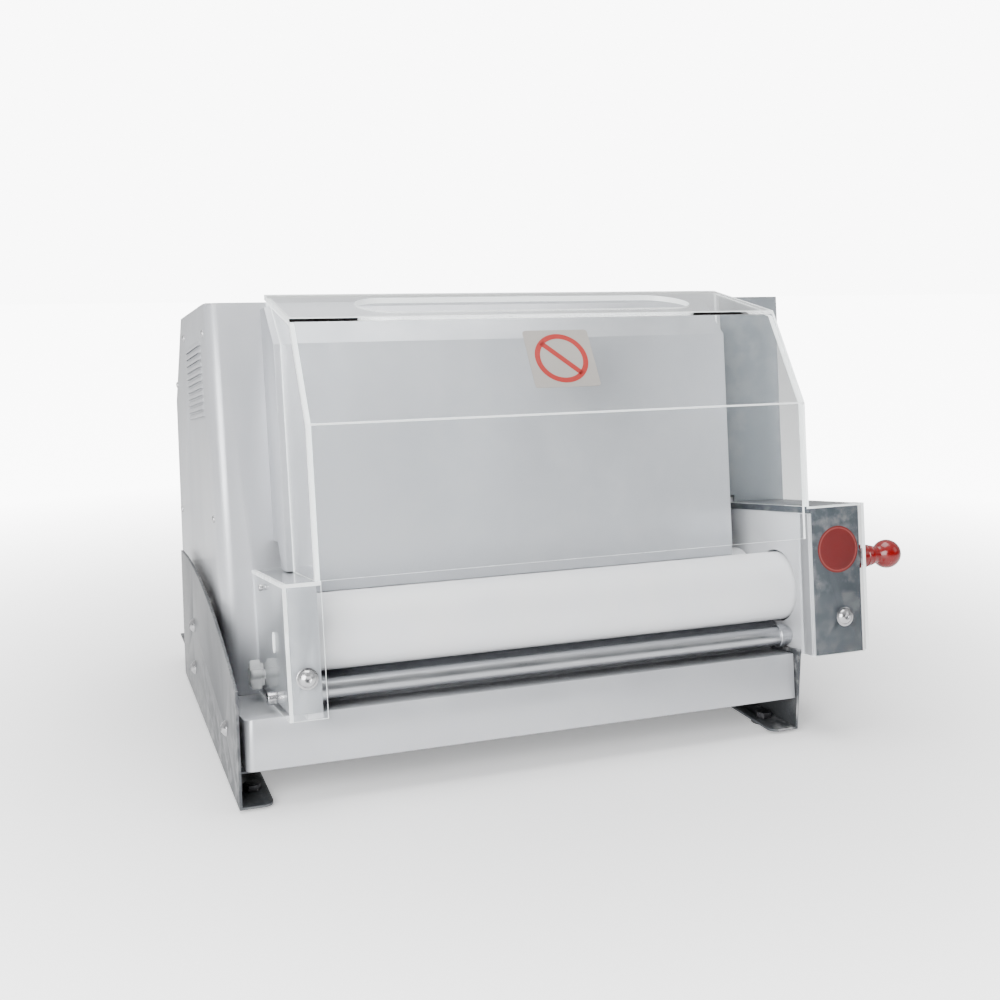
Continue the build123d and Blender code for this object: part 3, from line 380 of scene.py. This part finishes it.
# the housing and its lid are the side plates' metal made dark: painted shade for the dark room their front
# faces reflect
housingPaintedShade = painted("housingPaintedShade", (0.050, 0.058, 0.068, 1), (0.045, 0.052, 0.061, 1),
                       metal=0.2, rough=0.42, roughSpan=0.04, coat=0.12)
boxSatin = painted("boxSatin", (0.40, 0.415, 0.44, 1), (0.35, 0.365, 0.39, 1),
                   metal=0.35, rough=0.34, coat=0.15)
chutePaint = painted("chutePaint", (0.46, 0.475, 0.50, 1), (0.42, 0.435, 0.465, 1),
                     metal=0.45, rough=0.36, coat=0.2)
# the frame plates are the housing's metal made light: painted light for the bright side they face
plateSatinPaintedLight = painted("plateSatinPaintedLight", (0.56, 0.57, 0.59, 1), (0.50, 0.51, 0.53, 1),
                     metal=0.2, rough=0.36, coat=0.1)
print("finishes built")

slotOf = {}
bodyOf = {}
for entry in frame["record"]["subparts"]:
    slotOf[entry["node"]] = entry["material_slot"]
for bodyName, members in frame["record"]["behaviour"]["bodies"].items():
    for member in members:
        bodyOf[member] = bodyName
for nodeName, cadObject in frame["nodes"].items():
    for materialSlot in cadObject.material_slots:
        materialSlot.material = finishes[slotOf[nodeName]]


def finishPiece(name, bm, materials, body, stands=(), bevel=0.0, angle=32.0):
    mesh = bpy.data.meshes.new(name)
    bmesh.ops.recalc_face_normals(bm, faces=bm.faces)
    for face in bm.faces:
        face.smooth = True
    if not bevel:
        for edge in bm.edges:
            if len(edge.link_faces) == 2 and edge.calc_face_angle(0) > radians(angle):
                edge.smooth = False
    bm.to_mesh(mesh)
    bm.free()
    piece = bpy.data.objects.new(name, mesh)
    bpy.context.scene.collection.objects.link(piece)
    for material in materials:
        mesh.materials.append(material)
    if bevel:
        rounding = piece.modifiers.new("roundedEdges", "BEVEL")
        rounding.width = bevel
        rounding.segments = 2
        rounding.limit_method = "ANGLE"
        rounding.angle_limit = radians(angle)
        rounding.harden_normals = True
        rounding.use_clamp_overlap = True
    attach(piece, body)
    if stands:
        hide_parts(*stands)
    return piece


def cadMesh(nodeName):
    bm = bmesh.new()
    bm.from_mesh(frame["nodes"][nodeName].data)
    bmesh.ops.remove_doubles(bm, verts=bm.verts, dist=2e-6)
    bmesh.ops.dissolve_limit(bm, angle_limit=radians(0.6), verts=bm.verts, edges=bm.edges)
    for face in bm.faces:
        face.material_index = 0
    return bm


# sheets whose finish differs from the usual one of their slot; the housing's and lid's carry painted shade,
# the frame plates' painted light
finishesAndPaintedShade = {"infeed_chute": chutePaint, "adjuster_housing": housingPaintedShade, "adjuster_lid": housingPaintedShade,
             "left_box_cover": boxSatin, "right_frame_plate": plateSatinPaintedLight, "left_frame_plate": plateSatinPaintedLight}


def softCopy(nodeName, bevel):
    finish = finishesAndPaintedShade.get(nodeName, finishes[slotOf[nodeName]])
    return finishPiece(nodeName + "_sheet", cadMesh(nodeName), [finish], bodyOf[nodeName],
                       [nodeName], bevel)


def faceWidth(face):
    around = sum(edge.calc_length() for edge in face.edges)
    return 2 * face.calc_area() / max(around, 1e-6)


# cut planes, each a point and a direction, where the guards' glued corners show as bright columns
cornerCuts = {"left_guard": (((44.5, 0, 0), (1, 0, 0)), ((0, 0, 196.2), (0, 0, 1))),
              "right_guard": (((627.5, 0, 0), (1, 0, 0)),)}
clearEdges = {"widest": 1.15, "longest": 0.6, "bevel": 0.0003, "bevelAngle": 40.0}


def clearCopy(nodeName, wall, bends=None):
    bm = cadMesh(nodeName)
    for point, normal in cornerCuts.get(nodeName, ()):
        whole = bm.verts[:] + bm.edges[:] + bm.faces[:]
        facing = (bodyFrame.to_3x3() @ Vector(normal)).normalized()
        bmesh.ops.bisect_plane(bm, geom=whole, plane_co=bodyFrame @ Vector(point), plane_no=facing, dist=1e-5)
    bmesh.ops.dissolve_degenerate(bm, dist=2e-5, edges=bm.edges)
    for face in bm.faces:
        narrow = faceWidth(face) < wall * clearEdges["widest"]
        if narrow and max(e.calc_length() for e in face.edges) < clearEdges["longest"]:
            face.material_index = 1
    if bends:
        for convex, radius, look in ((True, bends["outside"], 1), (False, bends["inside"], 0)):
            folds = [e for e in bm.edges if len(e.link_faces) == 2 and e.calc_length() > bends["longerThan"]
                     and bends["least"] < degrees(e.calc_face_angle(0)) < bends["most"]
                     and e.is_convex == convex]
            bmesh.ops.bevel(bm, geom=folds, offset=radius, segments=6, affect="EDGES", profile=0.5,
                            material=look)
    face = guardAcrylic if "guard" in nodeName else finishes["acrylic"]
    piece = finishPiece(nodeName + "_clear", bm, [face, acrylicEdgeGlow], bodyOf[nodeName],
                        [nodeName], clearEdges["bevel"], clearEdges["bevelAngle"])
    piece.modifiers["roundedEdges"].harden_normals = False
    for polygon in piece.data.polygons:
        polygon.use_smooth = False
    piece.visible_shadow = False
    return piece


def turned(profile, segments=72, hexFrom=None):
    # revolves (along, radius) pairs round +X; rings from hexFrom on have a hexagon's outline
    bm = bmesh.new()
    rings = []
    for index, (along, radius) in enumerate(profile):
        if radius < 1e-6:
            rings.append([bm.verts.new((along, 0, 0))])
            continue
        ring = []
        for k in range(segments):
            angle = 2 * pi * k / segments
            reach = radius
            if hexFrom is not None and index >= hexFrom:
                reach = radius * cos(pi / 6) / cos((angle % (pi / 3)) - pi / 6)
            ring.append(bm.verts.new((along, reach * cos(angle), reach * sin(angle))))
        rings.append(ring)
    for a, b in zip(rings, rings[1:]):
        for k in range(segments):
            n = (k + 1) % segments
            if len(a) == 1 and len(b) == 1:
                continue
            if len(a) == 1:
                bm.faces.new((a[0], b[k], b[n]))
            elif len(b) == 1:
                bm.faces.new((a[k], a[n], b[0]))
            else:
                bm.faces.new((a[k], a[n], b[n], b[k]))
    return bm


def joined(parts):
    whole = bmesh.new()
    for bm, place in parts:
        bm.transform(place)
        temp = bpy.data.meshes.new("temp")
        bm.to_mesh(temp)
        bm.free()
        whole.from_mesh(temp)
        bpy.data.meshes.remove(temp)
    return whole


def arcProfile(centre, radius, fromAngle, toAngle, steps):
    points = []
    for i in range(steps + 1):
        angle = radians(fromAngle + (toAngle - fromAngle) * i / steps)
        points.append((centre + radius * cos(angle), radius * sin(angle)))
    return points


# rollers and guard bar
rollers = {"radius": 35.5, "left": 73.5, "frontRight": 575.0, "rearRight": 568.8, "frontY": 30.0,
           "rearY": 102.0, "height": 146.0, "bore": 10.15, "rings": 40, "ripple": 0.02}


def buildRoller(name, right, y, body, stands):
    left = rollers["left"]
    r = rollers["radius"]
    bore = rollers["bore"]
    profile = [(left + 3, bore), (left + 1.6, bore), (left + 1.6, 20), (left + 0.2, 21), (left, 22),
               (left, r - 2.4), (left + 0.35, r - 1.0), (left + 1.2, r - 0.25), (left + 2.4, r)]
    for i in range(1, rollers["rings"]):
        along = left + 2.4 + (right - left - 4.8) * i / rollers["rings"]
        profile.append((along, r - rollers["ripple"] * (i % 2)))
    profile += [(right - 2.4, r), (right - 1.2, r - 0.25), (right - 0.35, r - 1.0), (right, r - 2.4),
                (right, 22), (right - 0.2, 21), (right - 1.6, 20), (right - 1.6, bore), (right - 3, bore)]
    bm = turned(profile, 160)
    bm.transform(bodyFrame @ Matrix.Translation((0, y, rollers["height"])))
    return finishPiece(name, bm, [finishes["roller_white"]], body, stands, angle=28)


buildRoller("frontRollerSkin", rollers["frontRight"], rollers["frontY"], "front_roller", ["front_roller"])
buildRoller("rearRollerSkin", rollers["rearRight"], rollers["rearY"], "rear_roller", ["rear_roller"])

guardBar = {"radius": 9.5, "left": 72.0, "right": 570.3, "y": 12.0, "z": 96.5}


def buildGuardBar():
    r = guardBar["radius"]
    x0 = guardBar["left"]
    x1 = guardBar["right"]
    profile = [(x0, r - 2), (x0, r - 0.6), (x0 + 0.6, r), (x1 - 0.6, r), (x1, r - 0.6), (x1, r - 2)]
    bar = (turned(profile, 96), Matrix.Identity(4))
    collar = [(0, r), (0, r + 1.8), (0.6, r + 2.4), (7.4, r + 2.4), (8, r + 1.8), (8, r)]
    right = (turned(collar, 64), Matrix.Translation((x1 - 14, 0, 0)))
    left = (turned(collar, 64), Matrix.Translation((x0 + 5, 0, 0)))
    bm = joined([bar, left, right])
    bm.transform(bodyFrame @ Matrix.Translation((0, guardBar["y"], guardBar["z"])))
    finishPiece("guardBarTube", bm, [finishes["satin_steel"]], "base", ["guard_bar"], angle=25)


buildGuardBar()
print("rollers and guard bar built")

# fasteners
bolt = {"dome": 7.5, "height": 4.6, "socket": 2.9, "depth": 2.6, "washer": 9.6}


def boltHead(washer=True):
    # head points along -X, its seat is at X = 0
    r = bolt["dome"]
    h = bolt["height"]
    big = (r * r + h * h) / (2 * h)
    lift = 1.0 if washer else 0.0
    profile = []
    if washer:
        profile += [(0, bolt["washer"]), (-0.8, bolt["washer"]), (-1.0, bolt["washer"] - 0.3),
                    (-1.0, r + 0.2)]
    scale = (h - lift) / h
    steps = 10
    edge = degrees(atan2(r, big - h))
    for i in range(steps + 1):
        angle = radians(edge * (1 - i / steps))
        radius = big * sin(angle)
        along = -(lift + (big * cos(angle) - (big - h)) * scale)
        if radius > bolt["socket"] + 0.9:
            profile.append((along, radius))
    top = -h + 0.25
    profile += [(top, bolt["socket"] + 0.35), (top + 0.15, bolt["socket"]),
                (top + bolt["depth"], bolt["socket"] - 0.1)]
    hexStart = len(profile) - 3
    profile.append((top + bolt["depth"] + 0.6, 0))
    return turned(profile, 72, hexStart)


towardsLeft = Matrix.Identity(4)
towardsRight = Matrix.Rotation(pi, 4, "Z")
towardsFront = Matrix.Rotation(pi / 2, 4, "Z")

legBolts = {"places": [(71, 51), (302, 38), (297, 87)], "span": 570.0}


def buildLegBolts():
    parts = []
    for y, z in legBolts["places"]:
        for x, turn in ((0, towardsLeft), (legBolts["span"], towardsRight)):
            parts.append((boltHead(False), benchFrame @ Matrix.Translation((x, y, z)) @ turn))
    finishPiece("legBoltHeads", joined(parts), [finishes["bolt_chrome"]], "base",
                ["leg_bolts"], angle=40)


buildLegBolts()

guardBolts = {"front": -41.5, "places": [(58.3, 117), (603.3, 118)],
              "side": 41.0, "studs": [(24, 91, 6, 8), (104, 90, 4, 5), (60, 188, 3, 4)]}


def buildGuardBolts():
    parts = []
    for x, z in guardBolts["places"]:
        place = bodyFrame @ Matrix.Translation((x, guardBolts["front"], z))
        parts.append((boltHead(True), place @ towardsFront))
    for y, z, radius, height in guardBolts["studs"]:
        stud = turned([(0, radius), (-height + 1.2, radius), (-height + 0.5, radius - 0.25),
                       (-height, radius - 1.0), (-height, 1.9), (-height + 1.5, 1.6),
                       (-height + 1.6, 0)], 56, 4)
        parts.append((stud, bodyFrame @ Matrix.Translation((guardBolts["side"], y, z))))
    finishPiece("guardBoltHeads", joined(parts), [finishes["bolt_chrome"]], "base",
                ["guard_bolts"], angle=40)


buildGuardBolts()

casingSide = 11.0                         # outer face of the casing's left side

# the back cover leans forward by backLean over its backRise, from backFoot
smallScrews = {"radius": 3.6, "height": 1.8, "backFoot": (480.0, 126.0), "backLean": 12.0, "backRise": 186.0,
               "left": [(140, 430), (300, 440), (390, 395), (425, 250), (425, 120), (140, 250)],
               "back": [(40, 300), (300, 300), (560, 300), (40, 140), (300, 140), (560, 140),
                        (620, 300), (620, 140)]}


def screwHead():
    r = smallScrews["radius"]
    h = smallScrews["height"]
    profile = [(0, r), (-h * 0.35, r), (-h * 0.75, r * 0.86), (-h, r * 0.62), (-h, r * 0.42),
               (-h + 0.9, r * 0.38), (-h + 1.1, 0)]
    return turned(profile, 40, 4)


def buildSmallScrews():
    parts = []
    for y, z in smallScrews["left"]:
        parts.append((screwHead(), bodyFrame @ Matrix.Translation((casingSide, y, z)) @ towardsLeft))
    lean = smallScrews["backLean"]
    rise = smallScrews["backRise"]
    footY, footZ = smallScrews["backFoot"]
    turn = Matrix.Rotation(atan2(lean, rise), 4, "X") @ Matrix.Rotation(-pi / 2, 4, "Z")
    for x, z in smallScrews["back"]:
        y = footY - lean * (z - footZ) / rise
        parts.append((screwHead(), benchFrame @ Matrix.Translation((x, y, z)) @ turn))
    finishPiece("coverScrews", joined(parts), [finishes["bolt_chrome"]], "base", angle=40)


buildSmallScrews()
print("fasteners built")

# pull knob and clamp knob
pullKnob = {"start": 651.3, "ball": 687.0, "radius": 15.0, "y": 0.0, "z": 172.0}


def buildPullKnob():
    s = pullKnob["start"]
    profile = [(s, 4.2), (s, 11.4), (s + 0.8, 12.3), (s + 5.2, 12.3), (s + 6, 11.3), (s + 7.2, 11.3),
               (s + 8, 11.9), (s + 12, 11.3), (s + 12.8, 10.2), (s + 14, 10.2), (s + 14.8, 10.6),
               (s + 19, 9.4), (s + 22.6, 8.7)]
    neck = degrees(atan2(8.7, 12.2))
    profile += arcProfile(pullKnob["ball"], pullKnob["radius"], 180 - neck, 0, 26)[1:]
    profile[-1] = (profile[-1][0], 0)
    bm = turned(profile, 96)
    bm.transform(bodyFrame @ Matrix.Translation((0, pullKnob["y"], pullKnob["z"])))
    finishPiece("pullKnobBall", bm, [finishes["red_gloss"]], "pull_knob", ["lever_knob"],
                angle=35)


buildPullKnob()

clampKnob = {"x": 40.7, "y": 84.0, "z": 103.0, "radius": 11.6, "lobe": 2.9, "lobes": 5}


def buildClampKnob():
    bm = bmesh.new()
    layers = [(0, 0.62), (0, 0.80), (-2.5, 0.84), (-3.0, 0.97), (-4.0, 1.0), (-10.5, 1.0), (-12.0, 0.95),
              (-12.8, 0.84), (-13.0, 0.60), (-12.0, 0.42), (-11.8, 0.2)]
    count = 120
    rings = []
    for along, share in layers:
        ring = []
        for k in range(count):
            angle = 2 * pi * k / count
            turn = clampKnob["lobes"] * (angle - pi / 2)
            wave = clampKnob["lobe"] * cos(turn) * max(0, share - 0.55) / 0.45
            reach = clampKnob["radius"] * share + wave
            ring.append(bm.verts.new((along, reach * cos(angle), reach * sin(angle))))
        rings.append(ring)
    for a, b in zip(rings, rings[1:]):
        for k in range(count):
            n = (k + 1) % count
            bm.faces.new((a[k], a[n], b[n], b[k]))
    bm.faces.new(rings[0])
    bm.faces.new(rings[-1])
    bm.transform(bodyFrame @ Matrix.Translation((clampKnob["x"], clampKnob["y"], clampKnob["z"])))
    finishPiece("clampKnobGrip", bm, [finishes["clear_plastic"]], "clamp", ["clamp_knob"],
                angle=45)


buildClampKnob()
print("knobs built")

# disc on the adjuster housing
disc = {"x": 600.4, "y": -37.8, "z": 186.0, "radius": 23.5}


def buildDisc():
    r = disc["radius"]
    profile = [(0, r), (-0.12, r), (-0.2, r - 0.3), (-0.2, r - 1.4), (-0.14, r - 1.6), (-0.14, r - 2.6),
               (-0.2, r - 2.8), (-0.2, 12), (-0.2, 0)]
    bm = turned(profile, 128)
    for face in bm.faces:
        flat = face.calc_center_median()
        radius = sqrt(flat.y ** 2 + flat.z ** 2)
        face.material_index = 1 if r - 2.75 < radius < r - 1.45 else 0
    bm.transform(bodyFrame @ Matrix.Translation((disc["x"], disc["y"], disc["z"])) @ towardsFront)
    finishPiece("redDisc", bm, [discRed, discRing], "base", ["red_disc"], angle=20)


buildDisc()

# plain caution plate: a ring and a bar, no lettering
sign = {"x": 320.0, "y": -15.0, "z": 385.84, "width": 66.0, "height": 62.0, "thick": 0.55, "corner": 3.0,
        "gap": 0.03, "ring": 26.5, "ringWidth": 5.2, "rise": 0.22, "slopeUp": 96.0, "slopeBack": 50.0}


def flatRing(inner, outer, low, high):
    return turned([(low, inner), (high, inner), (high, outer), (low, outer), (low, inner)], 96)


def roundedPlate(width, height, thick, radius):
    bm = bmesh.new()
    steps = 6
    outline = []
    for cx, cy, start in ((1, 1, 0), (-1, 1, 90), (-1, -1, 180), (1, -1, 270)):
        for i in range(steps + 1):
            angle = radians(start + 90 * i / steps)
            outline.append((cx * (width / 2 - radius) + radius * cos(angle),
                            cy * (height / 2 - radius) + radius * sin(angle)))
    low = [bm.verts.new((x, y, 0)) for x, y in outline]
    high = [bm.verts.new((x, y, thick)) for x, y in outline]
    bm.faces.new(low[::-1])
    bm.faces.new(high)
    for k in range(len(outline)):
        n = (k + 1) % len(outline)
        bm.faces.new((low[k], low[n], high[n], high[k]))
    return bm


def buildSign():
    slope = atan2(sign["slopeUp"], sign["slopeBack"])
    place = bodyFrame @ Matrix.Translation((sign["x"], sign["y"], sign["z"])) @ Matrix.Rotation(slope, 4, "X")
    plate = roundedPlate(sign["width"], sign["height"], sign["thick"], sign["corner"])
    plate.transform(place @ Matrix.Translation((0, 0, sign["gap"])))
    finishPiece("cautionPlate", plate, [signPlate], "base", ["warning_plate"], angle=30)
    top = sign["thick"] + sign["gap"]
    upright = Matrix.Rotation(-pi / 2, 4, "Y")
    ring = flatRing(sign["ring"] - sign["ringWidth"], sign["ring"], 0, sign["rise"])
    bar = roundedPlate(2 * sign["ring"] - 5, sign["ringWidth"], sign["rise"], 0.6)
    parts = [(ring, place @ Matrix.Translation((0, 0, top)) @ upright),
             (bar, place @ Matrix.Translation((0, 0, top)) @ Matrix.Rotation(radians(-45), 4, "Z"))]
    finishPiece("cautionRing", joined(parts), [signRed], "base", angle=30)


buildSign()
print("disc and plate built")

# louvres pressed out of the casing's left side
louvres = {"count": 11, "first": 352.0, "pitch": 7.0, "middle": 224.0, "half": 60.0, "out": 2.4,
           "side": casingSide}


def buildLouvres():
    bm = bmesh.new()
    steps = 32
    for i in range(louvres["count"]):
        z = louvres["first"] + louvres["pitch"] * i
        rows = []
        for k in range(steps + 1):
            t = -1 + 2 * k / steps
            swell = max(0.02, 1 - abs(t) ** 14) ** 0.6
            out = louvres["out"] * swell
            y = louvres["middle"] + louvres["half"] * t
            side = louvres["side"]
            section = [(side - 0.02, z + 4.4), (side - out * 0.45, z + 3.6), (side - out * 0.85, z + 1.8),
                       (side - out, z - 0.6), (side - out + 0.5, z - 0.9), (side - out * 0.5 + 0.2, z + 1.8),
                       (side - 0.02, z + 2.8)]
            rows.append([bm.verts.new((x, y, zz)) for x, zz in section])
        for a, b in zip(rows, rows[1:]):
            for m in range(len(a)):
                n = (m + 1) % len(a)
                bm.faces.new((a[m], a[n], b[n], b[m]))
        bm.faces.new(rows[0])
        bm.faces.new(rows[-1][::-1])
    bm.transform(bodyFrame)
    finishPiece("sideLouvres", bm, [finishes["body_paint"]], "base", angle=50)


buildLouvres()

# push buttons
buttons = {"x": 641.0, "plate": 3, "y": 210.0, "radius": 10.8,
           "start": {"z": 330.0, "length": 7.0, "finish": "green_plastic"},
           "stop": {"z": 288.0, "length": 9.0, "finish": "red_gloss"}}


def buildButton(kind, body, node):
    look = buttons[kind]
    r = buttons["radius"]
    tip = buttons["x"] + buttons["plate"] + look["length"]
    back = buttons["x"] - 1.5
    profile = [(back, 0), (back, r - 0.4), (back + 0.4, r), (tip - 1.6, r), (tip - 0.5, r - 0.5),
               (tip, r - 1.6), (tip - 0.3, r * 0.6), (tip - 0.6, r * 0.3), (tip - 0.7, 0)]
    bm = turned(profile, 80)
    bm.transform(bodyFrame @ Matrix.Translation((0, buttons["y"], look["z"])))
    finishPiece(kind + "ButtonCap", bm, [finishes[look["finish"]]], body, [node], angle=35)


def buildCollars():
    parts = []
    x = buttons["x"] + buttons["plate"]
    profile = [(x + 3.7, 11.35), (x + 4.0, 11.6), (x + 4.0, 13.5), (x + 3.6, 14.05), (x + 0.1, 14.1),
               (x, 14.1)]
    for kind in ("start", "stop"):
        place = bodyFrame @ Matrix.Translation((0, buttons["y"], buttons[kind]["z"]))
        parts.append((turned(profile, 72), place))
    finishPiece("buttonRims", joined(parts), [finishes["bolt_chrome"]], "base", angle=30)


buildButton("start", "start", "start_button")
buildButton("stop", "stop", "stop_button")
buildCollars()
print("louvres and buttons built")

# the CAD's own shapes with their edges rounded, and how wide, in metres
sheetNodes = {"main_casing": 0.0006, "rear_cover": 0.0006, "drive_cover": 0.0006, "front_apron": 0.0006,
              "infeed_chute": 0.0006, "left_leg": 0.0005, "right_leg": 0.0005, "adjuster_housing": 0.0006,
              "adjuster_lid": 0.0006, "left_box_cover": 0.0006, "exit_slide": 0.0004, "control_plate": 0.0006,
              "left_frame_plate": 0.0005, "right_frame_plate": 0.0005, "index_plate": 0.0004,
              "lever_arm": 0.0008, "foot_bolts": 0.0006, "foot_pads": 0.0006, "chassis_pan": 0.0004,
              "power_inlet": 0.0006, "carriage_tie": 0.0004}
for nodeName, width in sheetNodes.items():
    softCopy(nodeName, width)
print("sheet metal built")

# clear hood and side guards
hoodBends = {"outside": 0.0010, "inside": 0.0005, "longerThan": 0.3, "least": 8.0, "most": 70.0}
clearWalls = {"hood": 0.005, "hood_left_side": 0.005, "hood_right_side": 0.005, "left_guard": 0.0035,
              "right_guard": 0.0035}
for nodeName, wall in clearWalls.items():
    clearCopy(nodeName, wall, hoodBends if nodeName == "hood" else None)
print("hood and guards built")

# floor, light and camera
studio = {"floor": 14.0, "floorColour": (0.90, 0.90, 0.90, 1), "floorCloud": (0.95, 0.95, 0.95, 1),
          "fadeFrom": 0.25, "fadeTo": 1.5, "fadePower": 1.6, "nearGlow": (0.03, 0.03, 0.03, 1), "white": 9.0,
          "sky": 0.85, "dimSky": (0.15, 0.155, 0.165, 1), "lampsAim": (0, 0, 0.2)}
lamps = {"keyLamp": {"place": (-1.7, -1.9, 1.0), "power": 95.0, "size": 1.6},
         "fillLamp": {"place": (2.0, -1.5, 1.4), "power": 8.0, "size": 1.2},
         "topLamp": {"place": (0.0, 0.1, 2.6), "power": 60.0, "size": 1.8}}


def buildFloor():
    bm = bmesh.new()
    bmesh.ops.create_grid(bm, x_segments=8, y_segments=8, size=studio["floor"])
    mesh = bpy.data.meshes.new("studioFloor")
    bm.to_mesh(mesh)
    bm.free()
    floor = bpy.data.objects.new("studioFloor", mesh)
    floor.location.z = cadLow.z
    bpy.context.scene.collection.objects.link(floor)
    material, tree, shader = newMaterial("studioFloor", Roughness=0.6)
    shade = noiseAt(tree, addNode(tree, "TexCoord").outputs["Object"], 2.0, 2.0)
    tint = mixColour(tree, shade, studio["floorColour"], studio["floorCloud"])
    tree.links.new(tint, shader.inputs["Base Color"])
    # the floor runs out to white far from the machine, for the camera only
    reach = tree.nodes.new("ShaderNodeVectorMath")
    reach.operation = "LENGTH"
    tree.links.new(addNode(tree, "TexCoord").outputs["Object"], reach.inputs[0])
    away = spread(tree, reach.outputs["Value"], studio["fadeFrom"], studio["fadeTo"])
    eased = maths(tree, "POWER", away, studio["fadePower"])
    seen = maths(tree, "MULTIPLY", eased, addNode(tree, "LightPath").outputs["Is Camera Ray"])
    glow = mixColour(tree, seen, studio["nearGlow"], (1, 1, 1, 1))
    tree.links.new(glow, shader.inputs["Emission Color"])
    shader.inputs["Emission Strength"].default_value = studio["white"]
    mesh.materials.append(material)


def buildLamp(name, place, power, size):
    lamp = bpy.data.lights.new(name, "AREA")
    lamp.energy = power
    lamp.size = size
    stand = bpy.data.objects.new(name, lamp)
    stand.location = place
    aim = Vector(studio["lampsAim"]) - Vector(place)
    stand.rotation_euler = aim.to_track_quat("-Z", "Y").to_euler()
    bpy.context.scene.collection.objects.link(stand)


def buildSky():
    # white behind the machine and overhead, dimmer on the near side so that metal has something to reflect
    world = bpy.data.worlds.new("studioSky")
    world.use_nodes = True
    tree = world.node_tree
    background = tree.nodes["Background"]
    split = addNode(tree, "SeparateXYZ")
    tree.links.new(addNode(tree, "TexCoord").outputs["Generated"], split.inputs[0])
    far = spread(tree, split.outputs["Y"], -0.45, 0.25)
    above = spread(tree, split.outputs["Z"], 0.45, 0.9)
    seen = addNode(tree, "LightPath").outputs["Is Camera Ray"]
    share = maths(tree, "MAXIMUM", maths(tree, "MAXIMUM", far, above), seen)
    tree.links.new(mixColour(tree, share, studio["dimSky"], (1, 1, 1, 1)), background.inputs[0])
    tree.links.new(spread(tree, seen, 0.0, 1.0, studio["sky"], studio["white"]), background.inputs[1])
    bpy.context.scene.world = world


view = {"place": (-145.6, -1049.6, 473.4), "forward": (0.341, 0.921, -0.186), "lens": 45.4, "sensor": 36.0}


def buildCamera():
    lens = bpy.data.cameras.new("frontCamera")
    lens.lens = view["lens"]
    lens.sensor_width = view["sensor"]
    lens.clip_start = 0.01
    camera = bpy.data.objects.new("frontCamera", lens)
    camera.location = benchFrame @ Vector(view["place"])
    camera.rotation_euler = Vector(view["forward"]).to_track_quat("-Z", "Y").to_euler()
    bpy.context.scene.collection.objects.link(camera)
    bpy.context.scene.camera = camera


buildFloor()
buildSky()
for lampName, lamp in lamps.items():
    buildLamp(lampName, lamp["place"], lamp["power"], lamp["size"])
buildCamera()
print("studio built")
